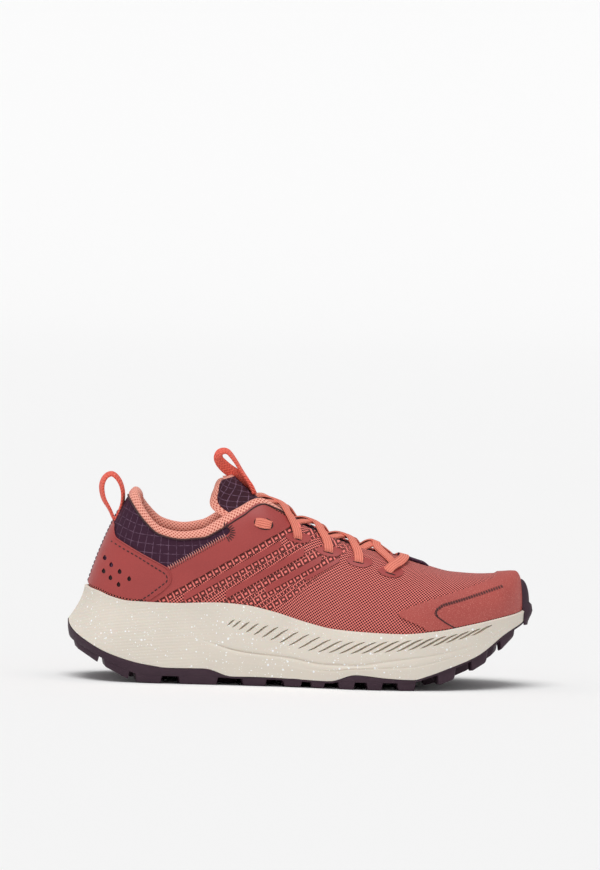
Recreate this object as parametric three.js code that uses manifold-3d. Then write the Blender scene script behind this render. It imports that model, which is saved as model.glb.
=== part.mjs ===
// Trail running shoe for the right foot, standing empty on its sole.
// Millimetres, +X to the toe, +Y to the inner (medial) side, +Z up. The origin is on the floor,
// on the flat lug under the middle of the heel.
import * as THREE from "three";
import { mergeVertices } from "three/addons/utils/BufferGeometryUtils.js";
import Module from "manifold-3d";

const wasm = await Module();
wasm.setup();

// Driving dimensions of the shoe
const SOLE_LENGTH = 280.5;
const BALL_WIDTH = 105; // over the sole at the ball of the foot
const HEEL_HEIGHT = 115.5; // top edge at the back of the collar
const FOAM_HEIGHT = 49; // side wall of the foam at the heel
const BED_HEIGHT = 33.5; // where the foot bed of the foam lies at the heel
const SPRING_HEIGHT = 46; // how high the tip of the toe is lifted

// The upper stands in from the sole
const HEEL_INSET = 12.1; // behind the upper, where the foam flares
const TOE_INSET = 1.9;
const SIDE_INSET = 3; // at the ball of the foot
const ORIGIN_ALONG = 0.287; // share of the sole behind the origin, where the middle heel lug stands
const SOLE_SETBACK = SOLE_LENGTH * ORIGIN_ALONG;
const UPPER_SETBACK = SOLE_SETBACK - HEEL_INSET;
const UPPER_LENGTH = SOLE_LENGTH - HEEL_INSET - TOE_INSET; // along the bite line
const UPPER_WIDTH = BALL_WIDTH - 2 * SIDE_INSET;

// Sizes of the upper
const WALL = 2.2; // mesh, lining and glue of the upper
const COLLAR_PAD = 6.2; // padded wall round the ankle
const TUCK = 4.5; // how far the lower edge of the upper turns in under the foot
const EDGE_ROUND = 0.45; // rise of the rounded top edge, as a share of its wall

// Sizes of the sole
const RIM_WIDTH = 2.4; // foam rim outside the upper
const LUG_HEIGHT = 3.7;
const LUG_ROOT = 0.4; // how far a lug reaches into the plate
const LUG_TAPER = 0.9; // how far each side of a lug leans in
const PLATE = 2.2; // rubber between the lugs
const PLATE_INSET = 9; // width of the rubber edge that climbs the foam
const BUMPER = 3.2; // thickness of the rubber over the toe
const BUMPER_HEIGHT = 64; // its top above the floor
const BUMPER_HALF = 21; // half its width round the toe
const BUMPER_REACH = 48; // how far it may reach back from the toe
const SIDE_MIN = 3; // least height of foam over the crease
const CREASE_DEPTH = 1.6; // step of the crease along the side
const GROOVE_DEPTH = 1.1;
const GROOVE_WIDTH = 1.1;
const GROOVE_COUNT = 24;
const INSOLE = 4;
const INSOLE_CUP = 3; // rise of its edge round the heel

// Sizes of tongue, laces, overlays and loops
const TONGUE_WIDTH = 50;
const TONGUE_PAD = 7;
const LACE_WIDTH = 5.5;
const LACE_THICK = 1.5;
const FILM = 0.8; // thickness of a film overlay
const EYELET_LENGTH = 6.5;
const EYELET_WIDTH = 2.4;
const TOP_EYELET_LENGTH = 10;
const TOP_EYELET_WIDTH = 6.5;
const WEB_THICK = 1.7;
const HEEL_WEB_WIDTH = 9;
const TONGUE_WEB_WIDTH = 8;
const HEEL_LOOP_RISE = 27.6;
const TONGUE_LOOP_RISE = 27;

// Clearances and finenesses
const GAP = 0.3; // between neighbours that touch
const RIBS = 26; // sections along one side of the shoe
const PLAN_STEP = 1e-3; // step for slopes of the forms

const LATERAL = -1;
const MEDIAL = 1;

// A table has named columns and a row for each section. `along` is a share of the length from the
// heel, and read() follows a column smoothly, with the rows spread so that both ends come out round.
function sectionTable(columns, rows) {
  const knots = rows.map((row) => Math.acos(1 - 2 * row[0]) / Math.PI);
  const slopes = columns.map((name, column) => slopesOf(knots, rows.map((row) => row[column])));
  return (name, s) => {
    const column = columns.indexOf(name);
    let i = 0;
    while (i < knots.length - 2 && s > knots[i + 1]) i += 1;
    const span = knots[i + 1] - knots[i];
    const t = Math.min(1, Math.max(0, (s - knots[i]) / span));
    const [a, b] = [rows[i][column], rows[i + 1][column]];
    const [p, q] = [slopes[column][i] * span, slopes[column][i + 1] * span];
    const rise = b - a;
    return a + t * (p + t * (3 * rise - 2 * p - q + t * (p + q - 2 * rise)));
  };
}

// Slopes of a smooth curve through rows that never overshoots them.
function slopesOf(knots, values) {
  const last = values.length - 1;
  const chord = (i) => (values[i + 1] - values[i]) / (knots[i + 1] - knots[i]);
  return values.map((value, i) => {
    if (i === 0) return chord(0);
    if (i === last) return chord(last - 1);
    const [before, after] = [chord(i - 1), chord(i)];
    return before * after <= 0 ? 0 : (2 * before * after) / (before + after);
  });
}

const alongAt = (s) => (1 - Math.cos(Math.PI * s)) / 2;

// Plan of the upper at the bite line: centre and half width as shares of UPPER_WIDTH
const upperPlan = sectionTable(["along", "centre", "half"], [
  [0, 0, 0],
  [0.025, 0, 0.19],
  [0.1, 0, 0.325],
  [0.2, -0.005, 0.358],
  [0.32, -0.012, 0.357],
  [0.45, -0.03, 0.362],
  [0.55, -0.033, 0.402],
  [0.65, -0.018, 0.468],
  [0.72, 0, 0.48],
  [0.8, 0.02, 0.455],
  [0.88, 0.042, 0.385],
  [0.95, 0.056, 0.262],
  [0.978, 0.06, 0.175],
  [1, 0.062, 0],
]);

// Widest line of the sole: centre and half width as shares of BALL_WIDTH
const solePlan = sectionTable(["along", "centre", "half"], [
  [0, 0, 0],
  [0.025, 0, 0.22],
  [0.1, 0, 0.385],
  [0.2, -0.004, 0.412],
  [0.32, -0.01, 0.402],
  [0.45, -0.028, 0.39],
  [0.55, -0.032, 0.425],
  [0.65, -0.018, 0.487],
  [0.72, 0, 0.497],
  [0.8, 0.018, 0.468],
  [0.88, 0.038, 0.39],
  [0.95, 0.052, 0.262],
  [0.978, 0.056, 0.178],
  [1, 0.058, 0],
]);

// Side lines along the upper: the bite line and the foot bed, as shares of FOAM_HEIGHT and BED_HEIGHT
const biteLine = sectionTable(["along", "bite", "bed"], [
  [0, 1.155, 1.05],
  [0.025, 1.11, 1.03],
  [0.06, 1.045, 1.01],
  [0.1, 1.005, 1],
  [0.2, 0.998, 0.99],
  [0.3, 1.018, 0.985],
  [0.36, 1, 0.97],
  [0.43, 0.925, 0.93],
  [0.5, 0.815, 0.88],
  [0.57, 0.735, 0.82],
  [0.65, 0.71, 0.775],
  [0.72, 0.7, 0.765],
  [0.8, 0.738, 0.8],
  [0.88, 0.82, 0.88],
  [0.95, 0.9, 1.04],
  [1, 0.985, 1.26],
]);

// Side lines along the sole, as shares of SPRING_HEIGHT: the floor side of the lugs, the upper edge of
// the rubber and the crease of the foam. `out` columns place the side between rim (0) and widest line (1).
const soleLines = sectionTable(
  ["along", "ground", "rubber", "crease", "outUpper", "outCrease", "outLower", "outRubber"],
  [
    [0, 0.545, 0.775, 0.94, 0.06, 0.36, 0.62, 0.99],
    [0.038, 0.36, 0.54, 0.92, 0.05, 0.3, 0.66, 0.99],
    [0.1, 0.16, 0.363, 0.85, 0.02, 0.22, 0.9, 0.97],
    [0.16, 0.01, 0.26, 0.78, 0, 0.25, 1, 0.92],
    [0.18, 0, 0.24, 0.755, 0, 0.28, 1, 0.9],
    [0.22, 0, 0.21, 0.7, 0.05, 0.35, 1, 0.88],
    [0.3, 0, 0.212, 0.57, 0.25, 0.6, 1, 0.86],
    [0.36, 0, 0.115, 0.48, 0.4, 0.75, 1, 0.84],
    [0.41, 0, 0.118, 0.44, 0.5, 0.82, 1, 0.82],
    [0.48, 0.012, 0.11, 0.405, 0.6, 0.86, 1, 0.8],
    [0.565, 0.005, 0.096, 0.33, 0.7, 0.86, 1, 0.78],
    [0.575, 0, 0.098, 0.33, 0.7, 0.86, 1, 0.78],
    [0.63, 0, 0.193, 0.335, 0.75, 0.86, 1, 0.84],
    [0.7, 0, 0.157, 0.395, 0.75, 0.86, 1, 0.8],
    [0.755, 0, 0.143, 0.44, 0.75, 0.86, 1, 0.78],
    [0.785, 0.03, 0.19, 0.465, 0.75, 0.86, 1, 0.8],
    [0.83, 0.115, 0.29, 0.52, 0.75, 0.86, 1, 0.82],
    [0.895, 0.29, 0.455, 0.63, 0.7, 0.86, 1, 0.84],
    [0.955, 0.565, 0.73, 0.83, 0.6, 0.86, 1, 0.9],
    [0.98, 0.72, 0.82, 0.9, 0.5, 0.9, 1, 0.95],
    [1, 0.85, 0.92, 0.975, 0.5, 0.95, 1, 0.98],
  ],
);

// Top edge of the upper: ridge, eyestay and collar. `top` is its place along UPPER_LENGTH, `lean` and
// `half` are shares of UPPER_WIDTH, the heights are shares of HEEL_HEIGHT, and `round` is 0 for a
// straight wall and 1 for a full arch. The upper is closed where `half` is 0.
const CLOSED_FROM = 0.716; // share of the length where the throat ends
const topEdge = sectionTable(
  ["along", "top", "lean", "half", "lateral", "medial", "round"],
  [
    [0, 0.088, 0, 0, 1, 1, 0.2],
    [0.025, 0.0905, 0, 0.092, 0.985, 0.99, 0.22],
    [0.06, 0.103, 0, 0.165, 0.937, 0.95, 0.26],
    [0.1, 0.126, 0, 0.218, 0.873, 0.893, 0.3],
    [0.16, 0.166, 0, 0.262, 0.803, 0.825, 0.34],
    [0.22, 0.212, 0, 0.28, 0.782, 0.803, 0.36],
    [0.28, 0.258, 0, 0.28, 0.797, 0.82, 0.38],
    [0.33, 0.297, 0, 0.262, 0.85, 0.872, 0.4],
    [0.38, 0.343, 0, 0.228, 0.918, 0.934, 0.42],
    [0.43, 0.392, 0, 0.196, 0.975, 0.983, 0.44],
    [0.46, 0.425, 0, 0.178, 0.957, 0.963, 0.47],
    [0.5, 0.48, 0, 0.162, 0.878, 0.884, 0.52],
    [0.56, 0.555, 0.005, 0.149, 0.785, 0.79, 0.58],
    [0.62, 0.621, 0.01, 0.131, 0.731, 0.735, 0.66],
    [0.67, 0.673, 0.015, 0.104, 0.702, 0.704, 0.74],
    [0.7, 0.703, 0.02, 0.062, 0.69, 0.69, 0.8],
    [CLOSED_FROM, 0.717, 0.022, 0, 0.682, 0.682, 0.84],
    [0.77, 0.768, 0.03, 0, 0.645, 0.645, 0.9],
    [0.84, 0.835, 0.04, 0, 0.605, 0.605, 0.95],
    [0.9, 0.895, 0.052, 0, 0.597, 0.597, 1],
    [0.95, 0.942, 0.06, 0, 0.605, 0.605, 1],
    [0.98, 0.955, 0.062, 0, 0.61, 0.61, 1],
    [1, 0.958, 0.062, 0, 0.612, 0.612, 1],
  ],
);

// A turn u runs round the shoe: 0 at the heel, 1 at the toe and 2 at the heel again, first along the
// lateral side and then back along the medial one.
const sideOf = (u) => (((u % 2) + 2) % 2 <= 1 ? LATERAL : MEDIAL);
function stationOf(u) {
  const turn = Math.round((((u % 2) + 2) % 2) * 1e9) / 1e9;
  return turn <= 1 ? turn : Math.round((2 - turn) * 1e9) / 1e9;
}
const stationAt = (along) => Math.acos(1 - 2 * along) / Math.PI;
const turnAt = (side, along) => (side === LATERAL ? stationAt(along) : 2 - stationAt(along));

function planPoint(plan, u, length, setback, width) {
  const s = stationOf(u);
  const y = (plan("centre", s) + sideOf(u) * plan("half", s)) * width;
  return new THREE.Vector2(alongAt(s) * length - setback, y);
}
const upperPlanPoint = (u) => planPoint(upperPlan, u, UPPER_LENGTH, UPPER_SETBACK, UPPER_WIDTH);
const solePlanPoint = (u) => planPoint(solePlan, u, SOLE_LENGTH, SOLE_SETBACK, BALL_WIDTH);

// Outward normal of a plan outline.
function planNormal(pointAt, u) {
  const step = pointAt(u + PLAN_STEP).sub(pointAt(u - PLAN_STEP));
  return new THREE.Vector2(step.y, -step.x).normalize();
}

function offsetPlan(pointAt, u, distance) {
  return pointAt(u).addScaledVector(planNormal(pointAt, u), distance);
}

const biteHeight = (u) => biteLine("bite", stationOf(u)) * FOAM_HEIGHT;
const bedHeight = (u) => biteLine("bed", stationOf(u)) * BED_HEIGHT;
const groundHeight = (u) => soleLines("ground", stationOf(u)) * SPRING_HEIGHT;
const rubberHeight = (u) => soleLines("rubber", stationOf(u)) * SPRING_HEIGHT;
const creaseHeight = (u) => soleLines("crease", stationOf(u)) * SPRING_HEIGHT;

// Shape of the arch from the bite line to the top edge, and of the turned-in lower edge: powers of
// their curves, 1 for a true circle.
const ARCH_FULLNESS = 0.78;
const ARCH_CLIMB = 0.9;
const TUCK_CLIMB = 1.2;

// Outer face of the upper. t runs from -1 at the lower edge to 0 at the bite line and 1 at the top.
function upperPoint(u, t) {
  if (t < 0) return tuckPoint(u, t + 1);
  const s = stationOf(u);
  const base = upperPlanPoint(u);
  const topX = topEdge("top", s) * UPPER_LENGTH - UPPER_SETBACK;
  const topY = (topEdge("lean", s) + sideOf(u) * topEdge("half", s)) * UPPER_WIDTH;
  const topZ = topEdge(sideOf(u) === LATERAL ? "lateral" : "medial", s) * HEEL_HEIGHT;
  const round = topEdge("round", s);
  const turn = (t * Math.PI) / 2;
  const inward = 1 - ((1 - round) * (1 - t) + round * Math.cos(turn) ** ARCH_FULLNESS);
  const climb = (1 - round) * t + round * Math.sin(turn) ** ARCH_CLIMB;
  return new THREE.Vector3(
    base.x + (topX - base.x) * inward,
    base.y + (topY - base.y) * inward,
    biteHeight(u) + (topZ - biteHeight(u)) * climb,
  );
}

// The lower edge of the upper, from under the foot (0) to the bite line (1).
function tuckPoint(u, rise) {
  const inset = TUCK * (1 - rise) ** 2;
  const plan = offsetPlan(upperPlanPoint, u, -inset);
  const low = bedHeight(u) + GAP;
  return new THREE.Vector3(plan.x, plan.y, low + (biteHeight(u) - low) * rise ** TUCK_CLIMB);
}

function upperNormal(u, t) {
  if (t >= 1 && isClosed(u)) return ridgeNormal(stationOf(u));
  const across = upperPoint(u + PLAN_STEP, t).sub(upperPoint(u - PLAN_STEP, t));
  const [low, high] = [Math.max(-1, t - PLAN_STEP), Math.min(1, t + PLAN_STEP)];
  const up = upperPoint(u, high).sub(upperPoint(u, low));
  const normal = across.cross(up);
  return normal.normalize();
}

const isClosed = (u) => alongAt(stationOf(u)) > CLOSED_FROM - PLAN_STEP;

// Normal of the ridge over the toes, the same from both sides.
function ridgeNormal(s) {
  const ridge = (at) => new THREE.Vector2(topEdge("top", at) * UPPER_LENGTH, topEdge("lateral", at) * HEEL_HEIGHT);
  const run = ridge(Math.min(1, s + PLAN_STEP)).sub(ridge(s - PLAN_STEP));
  return new THREE.Vector3(-run.y, 0, run.x).normalize();
}

function upperOffset(u, t, distance) {
  return upperPoint(u, t).addScaledVector(upperNormal(u, t), distance);
}

const smooth = (x) => {
  const c = Math.min(1, Math.max(0, x));
  return c * c * (3 - 2 * c);
};

// Wall of the upper: thin over the foot, padded round the ankle. The padding ends at `along` of the
// length and starts at `level` of the height, and fades over the two lengths after them.
const PADDING = { along: 0.43, fade: 0.1, level: 0.3, climb: 0.4 };
function wallAt(u, t) {
  const ankle = smooth((PADDING.along - alongAt(stationOf(u))) / PADDING.fade);
  return WALL + (COLLAR_PAD - WALL) * ankle * smooth((t - PADDING.level) / PADDING.climb);
}

// Closed solids from grids of points

const keyOf = (p) => p.toArray().map((v) => Math.round(v * 2e3)).join(",");

// A polygon is split from its corner of least weight, so that parallel faces are split alike.
const splitWeight = (p) => p.x + 0.37 * Math.abs(p.y) + 0.71 * p.z;

// A solid from a list of polygons of THREE.Vector3: shared corners are welded, flat slivers and pairs
// of faces that lie back to back are dropped.
function solidFrom(polygons) {
  const ids = new Map();
  const points = [];
  const idOf = (p) => {
    const key = keyOf(p);
    if (!ids.has(key)) {
      ids.set(key, points.length);
      points.push(p);
    }
    return ids.get(key);
  };
  const faces = new Map();
  const addFace = (a, b, c) => {
    if (a === b || b === c || c === a) return;
    const key = [a, b, c].sort((p, q) => p - q).join(",");
    if (faces.has(key)) faces.delete(key);
    else faces.set(key, [a, b, c]);
  };
  for (const polygon of polygons) {
    const loop = polygon.map(idOf);
    const weights = polygon.map(splitWeight);
    const start = weights.indexOf(Math.min(...weights));
    const turned = loop.map((_, i) => loop[(start + i) % loop.length]);
    for (let i = 1; i < turned.length - 1; i += 1) addFace(turned[0], turned[i], turned[i + 1]);
  }
  const geometry = new THREE.BufferGeometry();
  geometry.setAttribute("position", new THREE.Float32BufferAttribute(points.flatMap((p) => p.toArray()), 3));
  geometry.setIndex([...faces.values()].flat());
  return manifoldOf(geometry);
}

function manifoldOf(geometry) {
  const plain = geometry.clone();
  plain.deleteAttribute("normal");
  plain.deleteAttribute("uv");
  const merged = mergeVertices(plain, 1e-4);
  return new wasm.Manifold(
    new wasm.Mesh({
      numProp: 3,
      vertProperties: new Float32Array(merged.attributes.position.array),
      triVerts: new Uint32Array(merged.index.array),
    }),
  );
}

// A plate between two grids of the same size, outer[i][j] and inner[i][j], closed round its edges.
function plateBetween(outer, inner) {
  const polygons = [];
  const [rows, columns] = [outer.length - 1, outer[0].length - 1];
  for (let i = 0; i < rows; i += 1) {
    for (let j = 0; j < columns; j += 1) {
      polygons.push([outer[i][j], outer[i][j + 1], outer[i + 1][j + 1], outer[i + 1][j]]);
      polygons.push([inner[i][j], inner[i + 1][j], inner[i + 1][j + 1], inner[i][j + 1]]);
    }
    polygons.push([outer[i][0], outer[i + 1][0], inner[i + 1][0], inner[i][0]]);
    polygons.push([outer[i][columns], inner[i][columns], inner[i + 1][columns], outer[i + 1][columns]]);
  }
  for (let j = 0; j < columns; j += 1) {
    polygons.push([outer[0][j], inner[0][j], inner[0][j + 1], outer[0][j + 1]]);
    polygons.push([outer[rows][j], outer[rows][j + 1], inner[rows][j + 1], inner[rows][j]]);
  }
  return solidFrom(polygons);
}

// A solid of revolution-like ribs: rings[k] is the closed list of points of rib k round the shoe.
function ribbedSolid(rings) {
  const polygons = [];
  rings.forEach((ring, k) => {
    const next = rings[(k + 1) % rings.length];
    for (let j = 0; j < ring.length - 1; j += 1) {
      polygons.push([ring[j], ring[j + 1], next[j + 1], next[j]]);
    }
  });
  return solidFrom(polygons);
}

// A loft through closed loops of points, capped at both ends.
function loftSolid(loops) {
  const polygons = [];
  const count = loops[0].length;
  for (let k = 0; k < loops.length - 1; k += 1) {
    for (let j = 0; j < count; j += 1) {
      const n = (j + 1) % count;
      polygons.push([loops[k][j], loops[k][n], loops[k + 1][n], loops[k + 1][j]]);
    }
  }
  polygons.push([...loops[0]].reverse());
  polygons.push(loops[loops.length - 1]);
  return outward(polygons);
}

// An outline in side view (x, z) as a solid from y0 to y1.
function sidePrism(outline, y0, y1) {
  const shape = new THREE.Shape(outline.map(([x, z]) => new THREE.Vector2(x, z)));
  const geometry = new THREE.ExtrudeGeometry(shape, { depth: y1 - y0, bevelEnabled: false });
  geometry.rotateX(Math.PI / 2);
  geometry.translate(0, y1, 0);
  return manifoldOf(geometry);
}

function largest(solid) {
  const bodies = solid.decompose();
  return bodies.reduce((best, body) => (body.volume() > best.volume() ? body : best));
}

// Turns round the whole shoe, and along a stretch of it
function turnsRound(ribs) {
  return Array.from({ length: 2 * ribs + 1 }, (_, k) => k / ribs);
}
function ribsBetween(from, to) {
  const [first, last] = [Math.round(from * RIBS), Math.round(to * RIBS)];
  return Array.from({ length: last - first + 1 }, (_, k) => (first + k) / RIBS);
}

// Upper
const UPPER_LEVELS = [-1, -0.5, 0, 0.15, 0.32, 0.5, 0.68, 0.85, 1];

function upperShell(clearance) {
  const turns = turnsRound(RIBS);
  const outer = UPPER_LEVELS.map((t) => turns.map((u) => upperOffset(u, t, clearance)));
  const inner = UPPER_LEVELS.map((t) => turns.map((u) => upperOffset(u, t, -wallAt(u, t) - clearance)));
  const rim = turns.map((u) => rimPoint(u, clearance));
  return plateBetween([...outer, rim], [...inner, rim]);
}

// The rounded top edge, halfway through the wall.
function rimPoint(u, clearance) {
  const wall = wallAt(u, 1);
  const middle = upperOffset(u, 1, -wall / 2);
  if (isClosed(u)) return middle;
  const along = upperPoint(u, 1).sub(upperPoint(u, 1 - PLAN_STEP));
  return middle.addScaledVector(along.normalize(), wall * EDGE_ROUND + clearance);
}

// Places of the eyelets along each side, from the top one to the lowest: turn along the shoe and
// level on the wall, with the medial row a little nearer the toe.
const EYELET_ROWS = [
  { along: 0.442, level: 0.84, length: TOP_EYELET_LENGTH, width: TOP_EYELET_WIDTH },
  { along: 0.502, level: 0.87, length: EYELET_LENGTH, width: EYELET_WIDTH },
  { along: 0.567, level: 0.86, length: EYELET_LENGTH, width: EYELET_WIDTH },
  { along: 0.63, level: 0.84, length: EYELET_LENGTH, width: EYELET_WIDTH },
  { along: 0.697, level: 0.79, length: EYELET_LENGTH, width: EYELET_WIDTH },
];
const MEDIAL_SHIFT = 0.012;

function eyeletTurn(row, side) {
  return turnAt(side, row.along + (side === MEDIAL ? MEDIAL_SHIFT : 0));
}

// A box through the wall, its length along the shoe and its width up the wall.
function eyeletCutter(row, side) {
  const u = eyeletTurn(row, side);
  const normal = upperNormal(u, row.level);
  const along = upperPoint(u + PLAN_STEP, row.level).sub(upperPoint(u - PLAN_STEP, row.level));
  along.addScaledVector(normal, -along.dot(normal)).normalize();
  const up = new THREE.Vector3().crossVectors(normal, along);
  const box = new THREE.BoxGeometry(row.length, row.width, 6 * WALL);
  box.applyMatrix4(new THREE.Matrix4().makeBasis(along, up, normal));
  const place = upperPoint(u, row.level);
  box.translate(place.x, place.y, place.z);
  return manifoldOf(box);
}

function makeUpper() {
  let solid = upperShell(0);
  for (const side of [LATERAL, MEDIAL]) {
    for (const row of EYELET_ROWS) solid = solid.subtract(eyeletCutter(row, side));
  }
  return largest(solid);
}

// Midsole

const rimOutline = (u) => offsetPlan(upperPlanPoint, u, RIM_WIDTH);

function wallPoint(u, out, z) {
  const plan = rimOutline(u).lerp(solePlanPoint(u), out);
  return new THREE.Vector3(plan.x, plan.y, z);
}

// Side of the foam from the rim to the rubber, as [out, height] pairs.
function foamSide(u) {
  const s = stationOf(u);
  const [rim, crease, rubber] = [biteHeight(u) - GAP, creaseHeight(u), rubberHeight(u) + GAP];
  const [upper, middle] = [soleLines("outUpper", s), soleLines("outCrease", s)];
  const [lower, foot] = [soleLines("outLower", s), soleLines("outRubber", s)];
  const top = Math.min(crease, rim - SIDE_MIN);
  const below = Math.max(GAP, top - rubber);
  const notch = Math.min(CREASE_DEPTH, below / 4);
  return [
    [0, rim],
    [upper * 0.7, rim - (rim - top) * 0.3],
    [upper + (middle - upper) * 0.55, rim - (rim - top) * 0.65],
    [middle + 0.04, top + notch / 2],
    [middle - 0.08, top],
    [middle + (lower - middle) * 0.72, top - notch],
    [lower, top - below * 0.45],
    [lower + (foot - lower) * 0.6, top - below * 0.8],
    [foot, rubber],
  ];
}

// The line down the middle of the foot that the ribs of the sole start from.
const SPINE_FROM = 0.12;
const SPINE_TO = 0.9;
function spinePoint(u, z) {
  const s = stationOf(u);
  const along = Math.min(SPINE_TO, Math.max(SPINE_FROM, alongAt(s)));
  const x = along * UPPER_LENGTH - UPPER_SETBACK;
  return new THREE.Vector3(x, upperPlan("centre", stationAt(along)) * UPPER_WIDTH, z);
}
const spineTurn = (u) => {
  const along = Math.min(SPINE_TO, Math.max(SPINE_FROM, alongAt(stationOf(u))));
  return turnAt(sideOf(u), along);
};

// Upper face of the rubber plate at an inset from the edge of the sole, 0 at the edge.
const groundAt = (x) => {
  const along = (x + SOLE_SETBACK) / SOLE_LENGTH;
  return soleLines("ground", stationAt(Math.min(1, Math.max(0, along)))) * SPRING_HEIGHT;
};

// Points of the rubber plate from its edge inwards, `lift` above the floor side of the lugs.
const PLATE_SHARES = [0.5, 1];
function plateRun(u, lift) {
  const edge = underPoint(u, PLATE_INSET);
  const spine = spinePoint(u, 0);
  return [0, ...PLATE_SHARES].map((share) => {
    const x = edge.x + (spine.x - edge.x) * share;
    const y = edge.y + (spine.y - edge.y) * share;
    const height = groundAt(x) + lift;
    return new THREE.Vector3(x, y, share === 0 ? Math.min(height, rubberHeight(u) + lift - LUG_HEIGHT - PLATE) : height);
  });
}

function makeMidsole() {
  const rings = turnsRound(RIBS).map((u) => {
    const cup = [0.05, 0.5, 1].map((rise) => {
      const p = tuckPoint(u, rise);
      const n = planNormal(upperPlanPoint, u);
      return new THREE.Vector3(p.x + n.x * GAP, p.y + n.y * GAP, p.z);
    });
    const edge = tuckPoint(u, 0);
    const n = planNormal(upperPlanPoint, u);
    const bedEdge = new THREE.Vector3(edge.x + n.x * GAP, edge.y + n.y * GAP, bedHeight(u));
    const side = foamSide(u).map(([out, z]) => wallPoint(u, out, z));
    return [
      spinePoint(u, bedHeight(spineTurn(u))),
      bedEdge,
      ...cup.slice(1),
      ...side,
      ...plateRun(u, LUG_HEIGHT + PLATE + GAP),
    ];
  });
  let solid = ribbedSolid(rings.slice(0, -1));
  for (const side of [LATERAL, MEDIAL]) solid = solid.subtract(grooveCutter(side));
  return largest(solid);
}

// A point under the sole, inset from its rubber edge.
function underPoint(u, inset) {
  const s = stationOf(u);
  const edge = rimOutline(u).lerp(solePlanPoint(u), soleLines("outRubber", s));
  const spine = spinePoint(u, 0);
  const inward = new THREE.Vector2(spine.x, spine.y).sub(edge);
  return edge.addScaledVector(inward.clone().normalize(), Math.min(inset, inward.length() * 0.6));
}

// The slanting grooves in the side of the foam, as shares of their row: they start short at the rear,
// are longest before the ball and fade towards the toe.
const GROOVE_START = 0.345; // along the sole
const GROOVE_END = 0.905;
const GROOVE_SLANT = 34; // degrees
const GROOVE_SHOULDER = 2; // how far a cutter stands out of the foam

// Height on the side of the foam turned into a point there, `distance` outside it.
function foamPoint(side, x, z, distance) {
  const u = turnAt(side, (x + SOLE_SETBACK) / SOLE_LENGTH);
  const rows = foamSide(u);
  let i = 0;
  while (i < rows.length - 2 && z < rows[i + 1][1]) i += 1;
  const share = (rows[i][1] - z) / (rows[i][1] - rows[i + 1][1]);
  const plan = rimOutline(u).lerp(solePlanPoint(u), rows[i][0] + (rows[i + 1][0] - rows[i][0]) * share);
  return new THREE.Vector3(x, plan.y + side * distance, z);
}

// One groove: a wedge that is widest at its middle and runs out at both ends.
function grooveWedge(side, x, z, half) {
  const slant = THREE.MathUtils.degToRad(GROOVE_SLANT);
  const [dx, dz] = [Math.cos(slant), Math.sin(slant)];
  const wide = (GROOVE_WIDTH * (GROOVE_SHOULDER + GROOVE_DEPTH)) / GROOVE_DEPTH / 2;
  const reach = half + GROOVE_SHOULDER;
  const at = (run, across, distance) =>
    foamPoint(side, x + dx * run - dz * across, z + dz * run + dx * across, distance);
  const [a, b] = [at(-reach, 0, GROOVE_SHOULDER), at(0, -wide, GROOVE_SHOULDER)];
  const [c, d] = [at(reach, 0, GROOVE_SHOULDER), at(0, wide, GROOVE_SHOULDER)];
  const [e, f] = [at(-half * 0.7, 0, -GROOVE_DEPTH), at(half * 0.7, 0, -GROOVE_DEPTH)];
  const faces = [[a, b, d], [b, c, d], [a, e, b], [b, e, f], [b, f, c], [c, f, d], [d, f, e], [d, e, a]];
  return outward(faces);
}

// A closed solid from polygons, turned so that its faces point out.
function outward(polygons) {
  const solid = solidFrom(polygons);
  return solid.volume() < 0 ? solidFrom(polygons.map((polygon) => [...polygon].reverse())) : solid;
}

function grooveCutter(side) {
  let cuts = null;
  for (let k = 0; k < GROOVE_COUNT; k += 1) {
    const share = k / (GROOVE_COUNT - 1);
    const along = GROOVE_START + (GROOVE_END - GROOVE_START) * share ** 0.88;
    const u = turnAt(side, along);
    const [rim, crease] = [biteHeight(u), creaseHeight(u)];
    const middle = rim - (rim - crease) * (0.36 + 0.1 * Math.sin(Math.PI * share));
    const half = (rim - crease) * (0.2 + 0.34 * Math.sin(Math.PI * Math.min(1, share * 1.1 + 0.05)));
    const cut = grooveWedge(side, along * SOLE_LENGTH - SOLE_SETBACK, middle, half);
    cuts = cuts ? cuts.add(cut) : cut;
  }
  return cuts;
}

// Outsole
function makeOutsole() {
  const rings = turnsRound(RIBS).map((u) => {
    const foot = soleLines("outRubber", stationOf(u));
    const low = Math.min(groundHeight(u) + LUG_HEIGHT, rubberHeight(u) - PLATE / 2);
    return [
      ...plateRun(u, LUG_HEIGHT + PLATE).reverse(),
      wallPoint(u, foot, rubberHeight(u)),
      wallPoint(u, foot - 0.02, (rubberHeight(u) + low) / 2),
      wallPoint(u, foot - 0.12, low),
      ...plateRun(u, LUG_HEIGHT).slice(1),
    ];
  });
  let solid = ribbedSolid(rings.slice(0, -1));
  for (const lug of lugs()) solid = solid.add(lug);
  return solid.add(makeBumper());
}

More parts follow.
